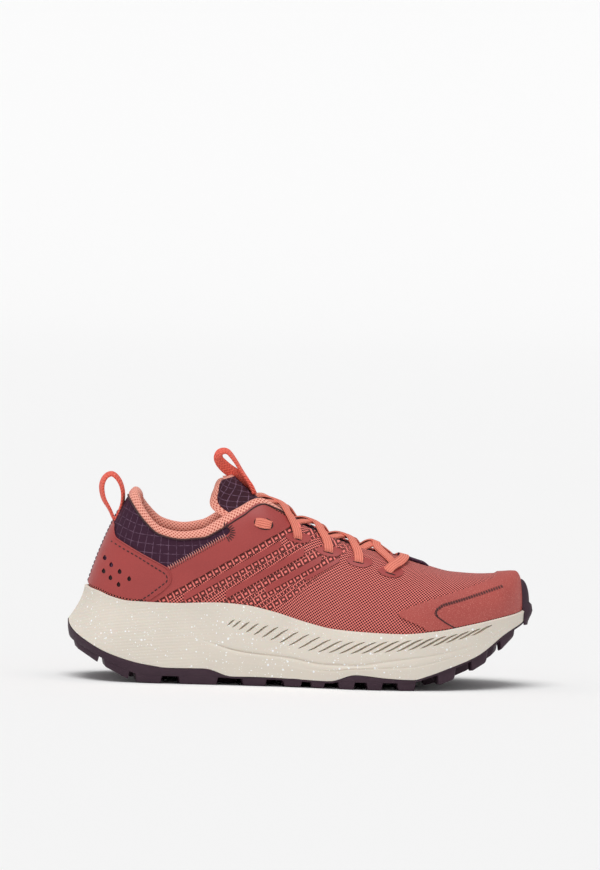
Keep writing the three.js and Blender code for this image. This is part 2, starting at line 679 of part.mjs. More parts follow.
// Lugs: edge lugs along both sides and two rows down the middle. Columns: place along the sole, and
// length in shares of LUG_LENGTH. A row reaches from `inner` to `outer` of the half width, and the
// outer ends of its lugs are swept forward by `sweep` of LUG_LENGTH.
const LUG_LENGTH = 11;
const EDGE_ROW = { inner: 0.66, outer: 1, sweep: 0.2 };
const MIDDLE_ROW = { inner: 0.14, outer: 0.48, sweep: -0.24 };
const EDGE_LUGS = [
  [0.055, 1.5],
  [0.125, 1.7],
  [0.205, 1.5],
  [0.31, 2.1],
  [0.405, 1.3],
  [0.475, 1],
  [0.525, 1],
  [0.585, 1],
  [0.645, 1],
  [0.71, 1],
  [0.775, 1.2],
  [0.84, 1.3],
  [0.9, 1.3],
  [0.945, 1.1],
];
const MIDDLE_LUGS = [
  [0.13, 1.3],
  [0.2, 1.2],
  [0.36, 1.3],
  [0.44, 1.1],
  [0.5, 1],
  [0.56, 1],
  [0.62, 1],
  [0.68, 1],
  [0.74, 1.1],
  [0.805, 1.1],
  [0.87, 1.1],
  [0.925, 1],
];
const HEEL_LUG = { along: ORIGIN_ALONG, length: 1.8, half: 0.82 }; // in shares of LUG_LENGTH

function lugs() {
  const list = [];
  for (const side of [LATERAL, MEDIAL]) {
    for (const [along, length] of EDGE_LUGS) list.push(lug(side, along, length, EDGE_ROW));
    for (const [along, length] of MIDDLE_LUGS) list.push(lug(side, along, length, MIDDLE_ROW));
  }
  const x = HEEL_LUG.along * SOLE_LENGTH - SOLE_SETBACK;
  const reach = (HEEL_LUG.length * LUG_LENGTH) / 2;
  const half = HEEL_LUG.half * LUG_LENGTH;
  list.push(
    lugSolid([
      [x - reach, -half],
      [x + reach, -half],
      [x + reach, half],
      [x - reach, half],
    ]),
  );
  return list;
}

// One lug of a row.
function lug(side, along, length, { inner, outer, sweep }) {
  const reach = (length * LUG_LENGTH) / 2;
  const at = (share, dx) => {
    const place = Math.min(0.995, Math.max(0.005, along + dx / SOLE_LENGTH));
    const s = stationAt(place);
    const foot = wallPoint(side === LATERAL ? s : 2 - s, soleLines("outRubber", s) - 0.06, 0);
    const centre = solePlan("centre", s) * BALL_WIDTH;
    return [place * SOLE_LENGTH - SOLE_SETBACK, centre + (foot.y - centre) * share];
  };
  const lean = sweep * LUG_LENGTH;
  const corners = [at(inner, -reach), at(inner, reach), at(outer, reach + lean), at(outer, -reach + lean)];
  return lugSolid(side === LATERAL ? corners.reverse() : corners);
}

// A block from the plate to the floor side over four corners, its sides leaning in. On a steep part
// of the sole its root goes deeper, by at most STEEPEST_ROOT of the plate.
const STEEPEST_ROOT = 0.35;
function lugSolid(corners) {
  const centre = corners.reduce((sum, [x, y]) => [sum[0] + x / 4, sum[1] + y / 4], [0, 0]);
  const ring = corners.map(([x, y]) => {
    const pull = (v, c) => v - Math.sign(v - c) * Math.min(LUG_TAPER, Math.abs(v - c) / 3);
    const [lx, ly] = [pull(x, centre[0]), pull(y, centre[1])];
    const steep = Math.abs(groundAt(x + LUG_LENGTH / 2) - groundAt(x - LUG_LENGTH / 2)) / LUG_LENGTH;
    const root = groundAt(x) + LUG_HEIGHT + LUG_ROOT + Math.min(STEEPEST_ROOT, steep) * PLATE;
    return [new THREE.Vector3(x, y, root), new THREE.Vector3(lx, ly, groundAt(lx))];
  });
  return loftSolid([ring.map((pair) => pair[1]).reverse(), ring.map((pair) => pair[0]).reverse()]);
}

// The rubber that climbs over the toe.
const BUMPER_LEVELS = [0.15, 0.32, 0.5, 0.68];
const BUMPER_ROOT = 3.2; // how far below the rubber's upper edge it joins the plate
const BUMPER_ROUND = 2;
function makeBumper() {
  const reach = ribsBetween(0.84, 1.16);
  const seat = 2 * GAP + FILM;
  const foamFace = (u, z, distance) => {
    const plan = offsetPlan(rimOutline, u, distance);
    return new THREE.Vector3(plan.x, plan.y, z);
  };
  const inner = [
    (u) => foamFace(u, rubberHeight(u) - BUMPER_ROOT, -RIM_WIDTH / 2),
    (u) => foamFace(u, rubberHeight(u) - BUMPER_ROUND, -RIM_WIDTH / 2),
    (u) => foamFace(u, rubberHeight(u), GAP),
    (u) => foamFace(u, biteHeight(u), GAP),
    ...BUMPER_LEVELS.map((t) => (u) => upperOffset(u, t, seat)),
  ];
  const outer = [
    (u) => foamFace(u, rubberHeight(u) - BUMPER_ROOT, BUMPER * 0.6),
    (u) => foamFace(u, rubberHeight(u) - BUMPER_ROUND, BUMPER + GAP),
    (u) => foamFace(u, rubberHeight(u), BUMPER + GAP),
    (u) => foamFace(u, biteHeight(u), BUMPER + GAP),
    ...BUMPER_LEVELS.map((t) => (u) => upperOffset(u, t, seat + BUMPER * (1.2 - t))),
  ];
  const band = plateBetween(
    outer.map((level) => reach.map(level)),
    inner.map((level) => reach.map(level)),
  );
  const shape = new THREE.Shape();
  const [low, high] = [SPRING_HEIGHT * 0.8, BUMPER_HEIGHT];
  const centre = solePlan("centre", 1) * BALL_WIDTH;
  shape.moveTo(centre - BUMPER_HALF, low);
  shape.lineTo(centre + BUMPER_HALF, low);
  shape.quadraticCurveTo(centre + BUMPER_HALF * 0.8, high, centre, high);
  shape.quadraticCurveTo(centre - BUMPER_HALF * 0.8, high, centre - BUMPER_HALF, low);
  const depth = BUMPER_REACH + RIM_WIDTH + 2 * BUMPER;
  const geometry = new THREE.ExtrudeGeometry(shape, { depth, bevelEnabled: false, curveSegments: 6 });
  geometry.applyMatrix4(new THREE.Matrix4().makeBasis(
    new THREE.Vector3(0, 1, 0),
    new THREE.Vector3(0, 0, 1),
    new THREE.Vector3(1, 0, 0),
  ));
  geometry.translate(UPPER_LENGTH - UPPER_SETBACK - BUMPER_REACH, 0, 0);
  return band.intersect(manifoldOf(geometry));
}

// Insole
function makeInsole() {
  const rings = turnsRound(RIBS).map((u) => {
    const heel = smooth((0.3 - alongAt(stationOf(u))) / 0.2);
    const low = bedHeight(u) + GAP;
    const high = low + INSOLE + INSOLE_CUP * heel;
    const rise = ((high - low) / (biteHeight(u) - low)) ** (1 / TUCK_CLIMB);
    const clear = wallAt(u, 0) + 2 * GAP;
    const foot = offsetPlan(upperPlanPoint, u, -TUCK - clear);
    const rim = offsetPlan(upperPlanPoint, u, -TUCK * (1 - rise) ** 2 - clear);
    const spine = spineTurn(u);
    return [
      spinePoint(u, bedHeight(spine) + GAP + INSOLE),
      underInsole(u, 0.62, INSOLE + GAP),
      new THREE.Vector3(rim.x, rim.y, high),
      new THREE.Vector3(foot.x, foot.y, low),
      spinePoint(u, bedHeight(spine) + GAP),
    ];
  });
  return ribbedSolid(rings.slice(0, -1));
}

// A point of the insole's upper face, a share of the way from the middle to its edge.
function underInsole(u, share, rise) {
  const edge = offsetPlan(upperPlanPoint, u, -TUCK - WALL);
  const spine = spinePoint(u, 0);
  const z = bedHeight(spineTurn(u)) * (1 - share) + bedHeight(u) * share + rise;
  return new THREE.Vector3(spine.x + (edge.x - spine.x) * share, spine.y + (edge.y - spine.y) * share, z);
}

// Tongue: sections from its foot under the vamp to its top. x and z of the crown in millimetres' shares
// of UPPER_LENGTH and HEEL_HEIGHT, half width as a share of TONGUE_WIDTH, fall of the sides and
// thickness as shares of TONGUE_PAD.
const tongueRows = [
  { x: 0.775, z: 0.594, half: 0.28, fall: 0.7, pad: 0.35 },
  { x: 0.73, z: 0.638, half: 0.3, fall: 0.7, pad: 0.4 },
  { x: 0.67, z: 0.68, half: 0.34, fall: 0.75, pad: 0.45 },
  { x: 0.61, z: 0.717, half: 0.38, fall: 0.85, pad: 0.55 },
  { x: 0.548, z: 0.764, half: 0.42, fall: 1.1, pad: 0.65 },
  { x: 0.48, z: 0.845, half: 0.46, fall: 1.4, pad: 0.8 },
  { x: 0.425, z: 0.918, half: 0.49, fall: 1.7, pad: 0.95 },
  { x: 0.378, z: 0.985, half: 0.5, fall: 1.8, pad: 1.1 },
  { x: 0.341, z: 1.06, half: 0.47, fall: 1.6, pad: 1.3 },
  { x: 0.322, z: 1.094, half: 0.42, fall: 1.3, pad: 1.35 },
  { x: 0.304, z: 1.102, half: 0.36, fall: 1.1, pad: 0.8 },
];
const TONGUE_ACROSS = 8;

function tongueCrown(k) {
  const row = tongueRows[Math.min(tongueRows.length - 1, Math.max(0, k))];
  const s = stationAt(row.x);
  return new THREE.Vector3(
    row.x * UPPER_LENGTH - UPPER_SETBACK,
    topEdge("lean", s) * UPPER_WIDTH,
    row.z * HEEL_HEIGHT,
  );
}

function tongueSection(k) {
  const row = tongueRows[k];
  const crown = tongueCrown(k);
  const along = tongueCrown(k + 1).sub(tongueCrown(k - 1)).normalize();
  const up = new THREE.Vector3(along.z, 0, -along.x);
  if (up.z < 0) up.negate();
  const half = row.half * TONGUE_WIDTH;
  const face = (depth) =>
    Array.from({ length: TONGUE_ACROSS + 1 }, (_, j) => {
      const share = (2 * j) / TONGUE_ACROSS - 1;
      const fall = row.fall * TONGUE_PAD * share ** 2 + depth * (1 - 0.7 * share ** 4);
      return crown.clone().addScaledVector(up, -fall).add(new THREE.Vector3(0, share * half, 0));
    });
  return [...face(0), ...face(row.pad * TONGUE_PAD).reverse()];
}

function makeTongue() {
  const loops = tongueRows.map((_, k) => tongueSection(k));
  return largest(loftSolid(loops).subtract(upperShell(GAP)));
}

// Laces: a crossing between each pair of eyelets, and the bar at the foot of the throat.

// A flat strip through points, its width across the run and lying on `up`.
function strip(points, up) {
  const loops = points.map((p, k) => {
    const before = points[Math.max(0, k - 1)];
    const after = points[Math.min(points.length - 1, k + 1)];
    const run = after.clone().sub(before).normalize();
    const across = new THREE.Vector3().crossVectors(up[k], run).normalize();
    const lift = new THREE.Vector3().crossVectors(run, across).normalize();
    const corner = (a, b) =>
      p.clone().addScaledVector(across, (a * LACE_WIDTH) / 2).addScaledVector(lift, (b * LACE_THICK) / 2);
    return [corner(-1, -1), corner(1, -1), corner(1, 1), corner(-1, 1)];
  });
  return loftSolid(loops);
}

// A lace runs from its eyelet over the eyestay, across the tongue, and under the far eyestay.
const LACE_SLACK = 0.4;
const LACE_LIFT = FILM + 2 * GAP + LACE_SLACK + LACE_THICK / 2;
const OVER_TONGUE = new THREE.Vector3(0.3, 0, 1).normalize(); // which way a lace faces there

function overEyestay(row, side) {
  const u = eyeletTurn(row, side);
  const at = (level, up) => ({ point: upperOffset(u, level, LACE_LIFT), up });
  return [
    at(row.level + 0.02, upperNormal(u, row.level)),
    at(1, upperNormal(u, 1).lerp(OVER_TONGUE, 0.6).normalize()),
  ];
}

function underEyestay(row, side) {
  const u = eyeletTurn(row, side);
  const point = upperPoint(u, 1);
  point.y -= side * (LACE_THICK + GAP);
  point.z -= LACE_THICK * 0.6;
  return [{ point, up: OVER_TONGUE }];
}

function laceRun(from, to) {
  const [start, end] = [from[from.length - 1].point, to[to.length - 1].point];
  const point = start.clone().add(end).multiplyScalar(0.5);
  const stations = [...from, { point, up: OVER_TONGUE }, ...[...to].reverse()];
  const run = strip(stations.map((station) => station.point), stations.map((station) => station.up));
  return run.subtract(upperCover());
}

// The upper with its film and the clearance to it.
function upperCover() {
  const turns = ribsBetween(0.35, 0.68);
  const levels = [0.5, 0.68, 0.85, 0.94, 1];
  const cover = [turns, turns.map((u) => 2 - u).reverse()].map((half) =>
    plateBetween(
      levels.map((t) => half.map((u) => upperOffset(u, t, FILM + 2 * GAP))),
      levels.map((t) => half.map((u) => upperOffset(u, t, -wallAt(u, t) - GAP))),
    ),
  );
  return cover[0].add(cover[1]).add(upperShell(GAP));
}

function makeCrossing(k) {
  const [high, low] = [EYELET_ROWS[k], EYELET_ROWS[k + 1]];
  const lowest = k === EYELET_ROWS.length - 2;
  const lower = lowest ? underEyestay : overEyestay;
  const [one, two] = [LATERAL, MEDIAL].map((side) => laceRun(lower(low, side), underEyestay(high, -side)));
  return largest(one.add(two));
}

function makeLaceBar() {
  const low = EYELET_ROWS[EYELET_ROWS.length - 1];
  return largest(laceRun(overEyestay(low, LATERAL), overEyestay(low, MEDIAL)));
}

// Overlays: a thin skin over the upper, cut to an outline in side view.
const OVERLAY_LEVELS = [0.03, 0.15, 0.32, 0.5, 0.68, 0.85, 1];

function overlaySkin(turns, levels) {
  const grid = (distance) => levels.map((t) => turns.map((u) => upperOffset(u, t, distance)));
  return plateBetween(grid(GAP + FILM), grid(GAP));
}

const shoeX = (along) => along * UPPER_LENGTH - UPPER_SETBACK;

// An outline of shares of the length and height of the upper as a prism over both sides or one.
function overlayPrism(outline, side) {
  const points = outline.map(([along, height]) => [shoeX(along), height * HEEL_HEIGHT]);
  return sidePrism(points, side === MEDIAL ? 0 : -BALL_WIDTH, side === LATERAL ? 0 : BALL_WIDTH);
}

// Outlines in side view. Columns: place along UPPER_LENGTH, height as a share of HEEL_HEIGHT
const TOE_CAP_OUTLINE = [
  [0.775, 0],
  [0.775, 0.352],
  [0.72, 0.405],
  [0.716, 0.42],
  [0.73, 0.447],
  [0.8, 0.5],
  [0.87, 0.54],
  [0.925, 0.585],
  [0.94, 0.61],
  [0.944, 0.8],
  [1.1, 0.8],
  [1.1, 0],
];
function makeToeCap() {
  const skin = overlaySkin(ribsBetween(0.6, 1.4), OVERLAY_LEVELS);
  return largest(skin.intersect(overlayPrism(TOE_CAP_OUTLINE)));
}

const COUNTER_OUTLINE = [
  [-0.1, 0],
  [0.128, 0],
  [0.128, 0.425],
  [0.165, 0.48],
  [0.19, 0.535],
  [0.19, 0.58],
  [0.17, 0.612],
  [0.115, 0.685],
  [0.065, 0.752],
  [0.052, 0.832],
  [-0.1, 0.832],
];
const COUNTER_LEVELS = [0.03, 0.15, 0.32, 0.5, 0.68, 0.8];
function makeHeelCounter() {
  const skin = overlaySkin(ribsBetween(-0.36, 0.36), COUNTER_LEVELS);
  return largest(skin.intersect(overlayPrism(COUNTER_OUTLINE)));
}

// The quarter film: a solid field behind, a row of slanting bars before it, and the eyestay.
const QUARTER_OUTLINE = [
  [0.148, 0],
  [0.3, 0.43],
  [0.44, 0.72],
  [0.5, 0.76],
  [0.6, 0.66],
  [0.69, 0.59],
  [0.715, 0.61],
  [0.72, 0.72],
  [0.45, 1.05],
  [0.38, 1.05],
  [0.355, 0.81],
  [0.21, 0.62],
  [0.2, 0.52],
  [0.165, 0.445],
  [0.148, 0.42],
];
const QUARTER_LEVELS = [0.03, 0.15, 0.32, 0.5, 0.68, 0.85, 0.94];

// Bars: where each starts along UPPER_LENGTH, how high, and where it ends
const BAR_SLOPE = 1.407; // height shares over length shares
const BAR_WIDTH = 0.026; // share of UPPER_LENGTH
const BARS = [
  [0.22, 0.4, 0.52],
  [0.3, 0.42, 0.575],
  [0.37, 0.42, 0.625],
];
function makeQuarter(side) {
  const turns = side === LATERAL ? ribsBetween(0.27, 0.66) : ribsBetween(1.34, 1.73);
  const skin = overlaySkin(turns, QUARTER_LEVELS);
  let film = skin.intersect(overlayPrism(QUARTER_OUTLINE, side));
  for (const [start, low, end] of BARS) {
    const high = low + (end - start) * BAR_SLOPE;
    const bar = [
      [start, low],
      [start + BAR_WIDTH, low],
      [end + BAR_WIDTH, high],
      [end, high],
    ];
    film = film.add(skin.intersect(overlayPrism(bar, side)));
  }
  return largest(film);
}

// Webbing loops: a closed band in side view, thick by its inner outline.
function webLoop(outline, width, turn, centre) {
  const curve = new THREE.CatmullRomCurve3(
    outline.map(([x, z]) => new THREE.Vector3(x, 0, z)),
    true,
    "centripetal",
  );
  const points = curve.getPoints(28).slice(0, -1);
  const ring = (distance) =>
    points.map((p, k) => {
      const run = points[(k + 1) % points.length].clone().sub(points[(k + points.length - 1) % points.length]);
      const n = new THREE.Vector3(run.z, 0, -run.x).normalize();
      return p.clone().addScaledVector(n, distance);
    });
  const [one, two] = [ring(0), ring(WEB_THICK)];
  const loops = [-width / 2, width / 2].map((y) => [one, two].map((r) => r.map((p) => p.clone().setY(y))));
  const polygons = [];
  points.forEach((_, k) => {
    const n = (k + 1) % points.length;
    polygons.push([loops[0][0][k], loops[0][0][n], loops[0][1][n], loops[0][1][k]]);
    polygons.push([loops[1][0][k], loops[1][1][k], loops[1][1][n], loops[1][0][n]]);
    polygons.push([loops[0][0][k], loops[1][0][k], loops[1][0][n], loops[0][0][n]]);
    polygons.push([loops[0][1][k], loops[0][1][n], loops[1][1][n], loops[1][1][k]]);
  });
  const place = new THREE.Matrix4()
    .makeTranslation(centre[0], centre[1], 0)
    .multiply(new THREE.Matrix4().makeRotationZ(turn))
    .multiply(new THREE.Matrix4().makeTranslation(-centre[0], 0, 0));
  const placed = polygons.map((polygon) => polygon.map((p) => p.clone().applyMatrix4(place)));
  return outward(placed);
}

// Heel loop in side view, from its seat on the back of the collar, over the counter, in shares of its
// rise.
const HEEL_LOOP_LEVEL = 0.665;
const HEEL_LOOP = [
  [-0.011, -0.043],
  [-0.13, 0.246],
  [-0.283, 0.529],
  [-0.304, 0.797],
  [-0.159, 1],
  [0.065, 0.92],
  [0.225, 0.652],
  [0.174, 0.37],
];
function makeHeelLoop() {
  const seat = upperOffset(0, HEEL_LOOP_LEVEL, GAP);
  const outline = HEEL_LOOP.map(([x, z]) => [seat.x + x * HEEL_LOOP_RISE, seat.z + z * HEEL_LOOP_RISE]);
  return largest(webLoop(outline, HEEL_WEB_WIDTH, 0, [0, 0]).subtract(upperShell(GAP)));
}

// Tongue loop in side view, from the place where its front leg is sewn to the tongue, in shares of its
// rise.
const TONGUE_LOOP = [
  [0.044, 0.056],
  [-0.096, 0.315],
  [-0.296, 0.648],
  [-0.5, 0.907],
  [-0.722, 1],
  [-0.889, 0.889],
  [-0.833, 0.667],
  [-0.593, 0.437],
  [-0.315, 0.259],
];
function makeTongueLoop() {
  const seat = tongueCrown(7);
  const outline = TONGUE_LOOP.map(([x, z]) => [
    seat.x + x * TONGUE_LOOP_RISE,
    seat.z + z * TONGUE_LOOP_RISE + 2 * GAP,
  ]);
  const loop = webLoop(outline, TONGUE_WEB_WIDTH, 0, [seat.x, seat.y]);
  return largest(loop.subtract(makeTongueClearance()));
}

function makeTongueClearance() {
  const loops = tongueRows.map((_, k) => {
    const section = tongueSection(k);
    const middle = section.reduce((sum, p) => sum.add(p), new THREE.Vector3()).multiplyScalar(1 / section.length);
    return section.map((p) => {
      const way = p.clone().sub(middle);
      way.y = 0;
      return p.clone().addScaledVector(way.normalize(), GAP);
    });
  });
  return loftSolid(loops);
}

// Materials by finish
const finish = (color, roughness) => ({ color, roughness, metalness: 0 });
const RUBBER = finish(0x4a3a45, 0.75);
const FOAM = finish(0xe3ded2, 0.85);
const TEXTILE = finish(0xd9655f, 0.9);
const FILM_SKIN = finish(0xc4605a, 0.55);
const RIPSTOP = finish(0x46283a, 0.8);
const KNIT = finish(0xee8d7b, 0.95);
const WEBBING = finish(0xe4604f, 0.85);

const shoe = new THREE.Group();
function addPiece(name, solid, look) {
  const mesh = solid.getMesh();
  const geometry = new THREE.BufferGeometry();
  geometry.setAttribute("position", new THREE.BufferAttribute(mesh.vertProperties, 3));
  geometry.setIndex(new THREE.BufferAttribute(mesh.triVerts, 1));
  const piece = new THREE.Mesh(geometry, new THREE.MeshStandardMaterial(look));
  piece.name = name;
  shoe.add(piece);
}

addPiece("outsole", makeOutsole(), RUBBER);
addPiece("midsole", makeMidsole(), FOAM);
addPiece("insole", makeInsole(), KNIT);
addPiece("upper", makeUpper(), TEXTILE);
addPiece("tongue", makeTongue(), RIPSTOP);
addPiece("toe_cap", makeToeCap(), FILM_SKIN);
addPiece("heel_counter", makeHeelCounter(), FILM_SKIN);
addPiece("quarter_lateral", makeQuarter(LATERAL), FILM_SKIN);
addPiece("quarter_medial", makeQuarter(MEDIAL), FILM_SKIN);
for (let k = 0; k < EYELET_ROWS.length - 1; k += 1) addPiece("lace_crossing_" + (k + 1), makeCrossing(k), KNIT);
addPiece("lace_bar", makeLaceBar(), KNIT);
addPiece("heel_loop", makeHeelLoop(), WEBBING);
addPiece("tongue_loop", makeTongueLoop(), WEBBING);

export default shoe;
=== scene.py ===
"""Trail running shoe for the right foot, dressed over its CAD frame.

Metres in the scene, +X to the toe, +Y to the inner (medial) side, +Z up. The forms below are worked
out in millimetres and turned to metres where a mesh is made.
"""
from __future__ import annotations

import logging
import math
from dataclasses import dataclass
from enum import Enum
from functools import partial
from typing import Any, Callable, Sequence

import bpy
import numpy as np
from mathutils import Matrix, Vector


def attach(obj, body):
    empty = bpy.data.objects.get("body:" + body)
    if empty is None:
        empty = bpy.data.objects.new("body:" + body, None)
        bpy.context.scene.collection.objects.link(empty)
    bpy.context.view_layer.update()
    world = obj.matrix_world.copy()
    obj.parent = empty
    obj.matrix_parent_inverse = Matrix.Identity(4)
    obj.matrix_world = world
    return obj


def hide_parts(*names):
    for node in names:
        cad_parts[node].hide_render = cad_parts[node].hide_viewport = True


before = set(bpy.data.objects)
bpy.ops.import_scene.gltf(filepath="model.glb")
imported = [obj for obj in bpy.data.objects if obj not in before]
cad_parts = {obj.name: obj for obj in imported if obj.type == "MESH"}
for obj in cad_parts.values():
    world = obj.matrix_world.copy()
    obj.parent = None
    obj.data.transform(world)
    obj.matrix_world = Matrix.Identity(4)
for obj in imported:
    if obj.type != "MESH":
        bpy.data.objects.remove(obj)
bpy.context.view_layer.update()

LOG = logging.getLogger("trail_shoe")
MM = 0.001
Piece = bpy.types.Object
Socket = bpy.types.NodeSocket
Nodes = Callable[..., Socket]  # adds a node to one tree
Look = tuple[Any, Any, float]  # colour, height from 0 to 1, and depth of the relief in mm
Points = np.ndarray
Line = Sequence[Sequence[float]]  # in mm


class Side(Enum):
    """Side of the right foot, by the sign of its Y."""

    LATERAL = -1
    MEDIAL = 1


# ---- forms of the last and the sole


class SectionTable:
    """A table with named columns and a row for each section, read smoothly from heel to toe."""

    def __init__(self, columns: str, rows: Line) -> None:
        """Works out the slope of each column at each row.

        Args:
            columns: names of the columns, the first being the place along the shoe.
            rows: values, with the place along as a share from 0 at the heel to 1 at the toe.
        """
        self.columns = columns.split()
        self.values = np.array(rows, dtype=float)
        self.knots = station_at(self.values[:, 0])
        chords = np.diff(self.values, axis=0) / np.diff(self.knots)[:, None]
        before, after = chords[:-1], chords[1:]
        total = np.where(before * after > 0, before + after, 1)
        inner = np.where(before * after > 0, 2 * before * after / total, 0)
        self.slopes = np.vstack([chords[:1], inner, chords[-1:]])

    def read(self, name: str, s: Points) -> Points:
        """Reads a column.

        Args:
            name: the column.
            s: stations along the shoe, 0 at the heel and 1 at the toe.

        Returns:
            The column's values there.
        """
        column = self.columns.index(name)
        row = np.clip(np.searchsorted(self.knots, s, side="right") - 1, 0, len(self.knots) - 2)
        span = self.knots[row + 1] - self.knots[row]
        t = np.clip((s - self.knots[row]) / span, 0, 1)
        a, b = self.values[row, column], self.values[row + 1, column]
        p, q = self.slopes[row, column] * span, self.slopes[row + 1, column] * span
        rise = b - a
        return a + t * (p + t * (3 * rise - 2 * p - q + t * (p + q - 2 * rise)))


def station_at(along: Points | float) -> Points:
    """Station of a share of the length: stations lie closer together at both ends."""
    return np.arccos(1 - 2 * np.asarray(along, dtype=float)) / np.pi


def along_at(s: Points | float) -> Points:
    """Share of the length at a station."""
    return (1 - np.cos(np.pi * np.asarray(s, dtype=float))) / 2


def smooth(x: Points | float) -> Points:
    """Smooth step from 0 to 1."""
    c = np.clip(x, 0, 1)
    return c * c * (3 - 2 * c)


UPPER_PLAN = SectionTable("along centre half", [
    [0, 0, 0], [0.025, 0, 0.19], [0.1, 0, 0.325], [0.2, -0.005, 0.358], [0.32, -0.012, 0.357],
    [0.45, -0.03, 0.362], [0.55, -0.033, 0.402], [0.65, -0.018, 0.468], [0.72, 0, 0.48],
    [0.8, 0.02, 0.455], [0.88, 0.042, 0.385], [0.95, 0.056, 0.262], [0.978, 0.06, 0.175],
    [1, 0.062, 0]])
SOLE_PLAN = SectionTable("along centre half", [
    [0, 0, 0], [0.025, 0, 0.22], [0.1, 0, 0.385], [0.2, -0.004, 0.412], [0.32, -0.01, 0.402],
    [0.45, -0.028, 0.39], [0.55, -0.032, 0.425], [0.65, -0.018, 0.487], [0.72, 0, 0.497],
    [0.8, 0.018, 0.468], [0.88, 0.038, 0.39], [0.95, 0.052, 0.262], [0.978, 0.056, 0.178],
    [1, 0.058, 0]])
BITE_LINE = SectionTable("along bite bed", [
    [0, 1.155, 1.05], [0.025, 1.11, 1.03], [0.06, 1.045, 1.01], [0.1, 1.005, 1], [0.2, 0.998, 0.99],
    [0.3, 1.018, 0.985], [0.36, 1, 0.97], [0.43, 0.925, 0.93], [0.5, 0.815, 0.88],
    [0.57, 0.735, 0.82], [0.65, 0.71, 0.775], [0.72, 0.7, 0.765], [0.8, 0.738, 0.8],
    [0.88, 0.82, 0.88], [0.95, 0.9, 1.04], [1, 0.985, 1.26]])
SOLE_LINES = SectionTable("along ground rubber crease out_upper out_crease out_lower out_rubber", [
    [0, 0.545, 0.775, 0.94, 0.06, 0.36, 0.62, 0.99],
    [0.038, 0.36, 0.54, 0.92, 0.05, 0.3, 0.66, 0.99],
    [0.1, 0.16, 0.363, 0.85, 0.02, 0.22, 0.9, 0.97],
    [0.16, 0.01, 0.26, 0.78, 0, 0.25, 1, 0.92],
    [0.18, 0, 0.24, 0.755, 0, 0.28, 1, 0.9],
    [0.22, 0, 0.21, 0.7, 0.05, 0.35, 1, 0.88],
    [0.3, 0, 0.212, 0.57, 0.25, 0.6, 1, 0.86],
    [0.36, 0, 0.115, 0.48, 0.4, 0.75, 1, 0.84],
    [0.41, 0, 0.118, 0.44, 0.5, 0.82, 1, 0.82],
    [0.48, 0.012, 0.11, 0.405, 0.6, 0.86, 1, 0.8],
    [0.565, 0.005, 0.096, 0.33, 0.7, 0.86, 1, 0.78],
    [0.575, 0, 0.098, 0.33, 0.7, 0.86, 1, 0.78],
    [0.63, 0, 0.193, 0.335, 0.75, 0.86, 1, 0.84],
    [0.7, 0, 0.157, 0.395, 0.75, 0.86, 1, 0.8],
    [0.755, 0, 0.143, 0.44, 0.75, 0.86, 1, 0.78],
    [0.785, 0.03, 0.19, 0.465, 0.75, 0.86, 1, 0.8],
    [0.83, 0.115, 0.29, 0.52, 0.75, 0.86, 1, 0.82],
    [0.895, 0.29, 0.455, 0.63, 0.7, 0.86, 1, 0.84],
    [0.955, 0.565, 0.73, 0.83, 0.6, 0.86, 1, 0.9],
    [0.98, 0.72, 0.82, 0.9, 0.5, 0.9, 1, 0.95],
    [1, 0.85, 0.92, 0.975, 0.5, 0.95, 1, 0.98]])
THROAT_END = 0.716
TOP_EDGE = SectionTable("along top lean half lateral medial round", [
    [0, 0.098, 0, 0, 1, 1, 0.2], [0.025, 0.1, 0, 0.092, 0.985, 0.99, 0.22],
    [0.06, 0.111, 0, 0.165, 0.937, 0.95, 0.26], [0.1, 0.13, 0, 0.218, 0.873, 0.893, 0.3],
    [0.16, 0.166, 0, 0.262, 0.803, 0.825, 0.34], [0.22, 0.212, 0, 0.28, 0.782, 0.803, 0.36],
    [0.28, 0.258, 0, 0.28, 0.797, 0.82, 0.38], [0.33, 0.297, 0, 0.262, 0.85, 0.872, 0.4],
    [0.38, 0.343, 0, 0.228, 0.918, 0.934, 0.42], [0.43, 0.392, 0, 0.196, 0.975, 0.983, 0.44],
    [0.46, 0.425, 0, 0.178, 0.942, 0.948, 0.47], [0.5, 0.48, 0, 0.162, 0.856, 0.862, 0.52],
    [0.56, 0.555, 0.005, 0.149, 0.785, 0.79, 0.58], [0.62, 0.621, 0.01, 0.131, 0.731, 0.735, 0.66],
    [0.67, 0.673, 0.015, 0.104, 0.702, 0.704, 0.74], [0.7, 0.703, 0.02, 0.062, 0.69, 0.69, 0.8],
    [THROAT_END, 0.717, 0.022, 0, 0.682, 0.682, 0.84], [0.77, 0.768, 0.03, 0, 0.645, 0.645, 0.9],
    [0.84, 0.835, 0.04, 0, 0.605, 0.605, 0.95], [0.9, 0.895, 0.052, 0, 0.597, 0.597, 1],
    [0.95, 0.95, 0.06, 0, 0.605, 0.605, 1], [0.98, 0.972, 0.062, 0, 0.61, 0.61, 1],
    [1, 0.981, 0.062, 0, 0.61, 0.61, 1]])


@dataclass(frozen=True)
class Crease:
    """A soft trough (or ridge, if its depth is below 0) along a line in side view, in mm."""

    start: tuple[float, float]
    end: tuple[float, float]
    width: float
    depth: float

    def at(self, points: Points) -> Points:
        """Depth of the trough at points.

        Args:
            points: array (..., 3) in mm.

        Returns:
            Depth in mm at each of them.
        """
        a, b = np.array(self.start), np.array(self.end)
        flat = points[..., [0, 2]] - a
        run = b - a
        share = np.clip((flat @ run) / (run @ run), 0, 1)
        away = np.linalg.norm(flat - share[..., None] * run, axis=-1)
        fade = smooth(share * 4 + 0.25) * smooth((1 - share) * 4 + 0.25)
        return self.depth * fade * np.exp(-((away / self.width) ** 2))


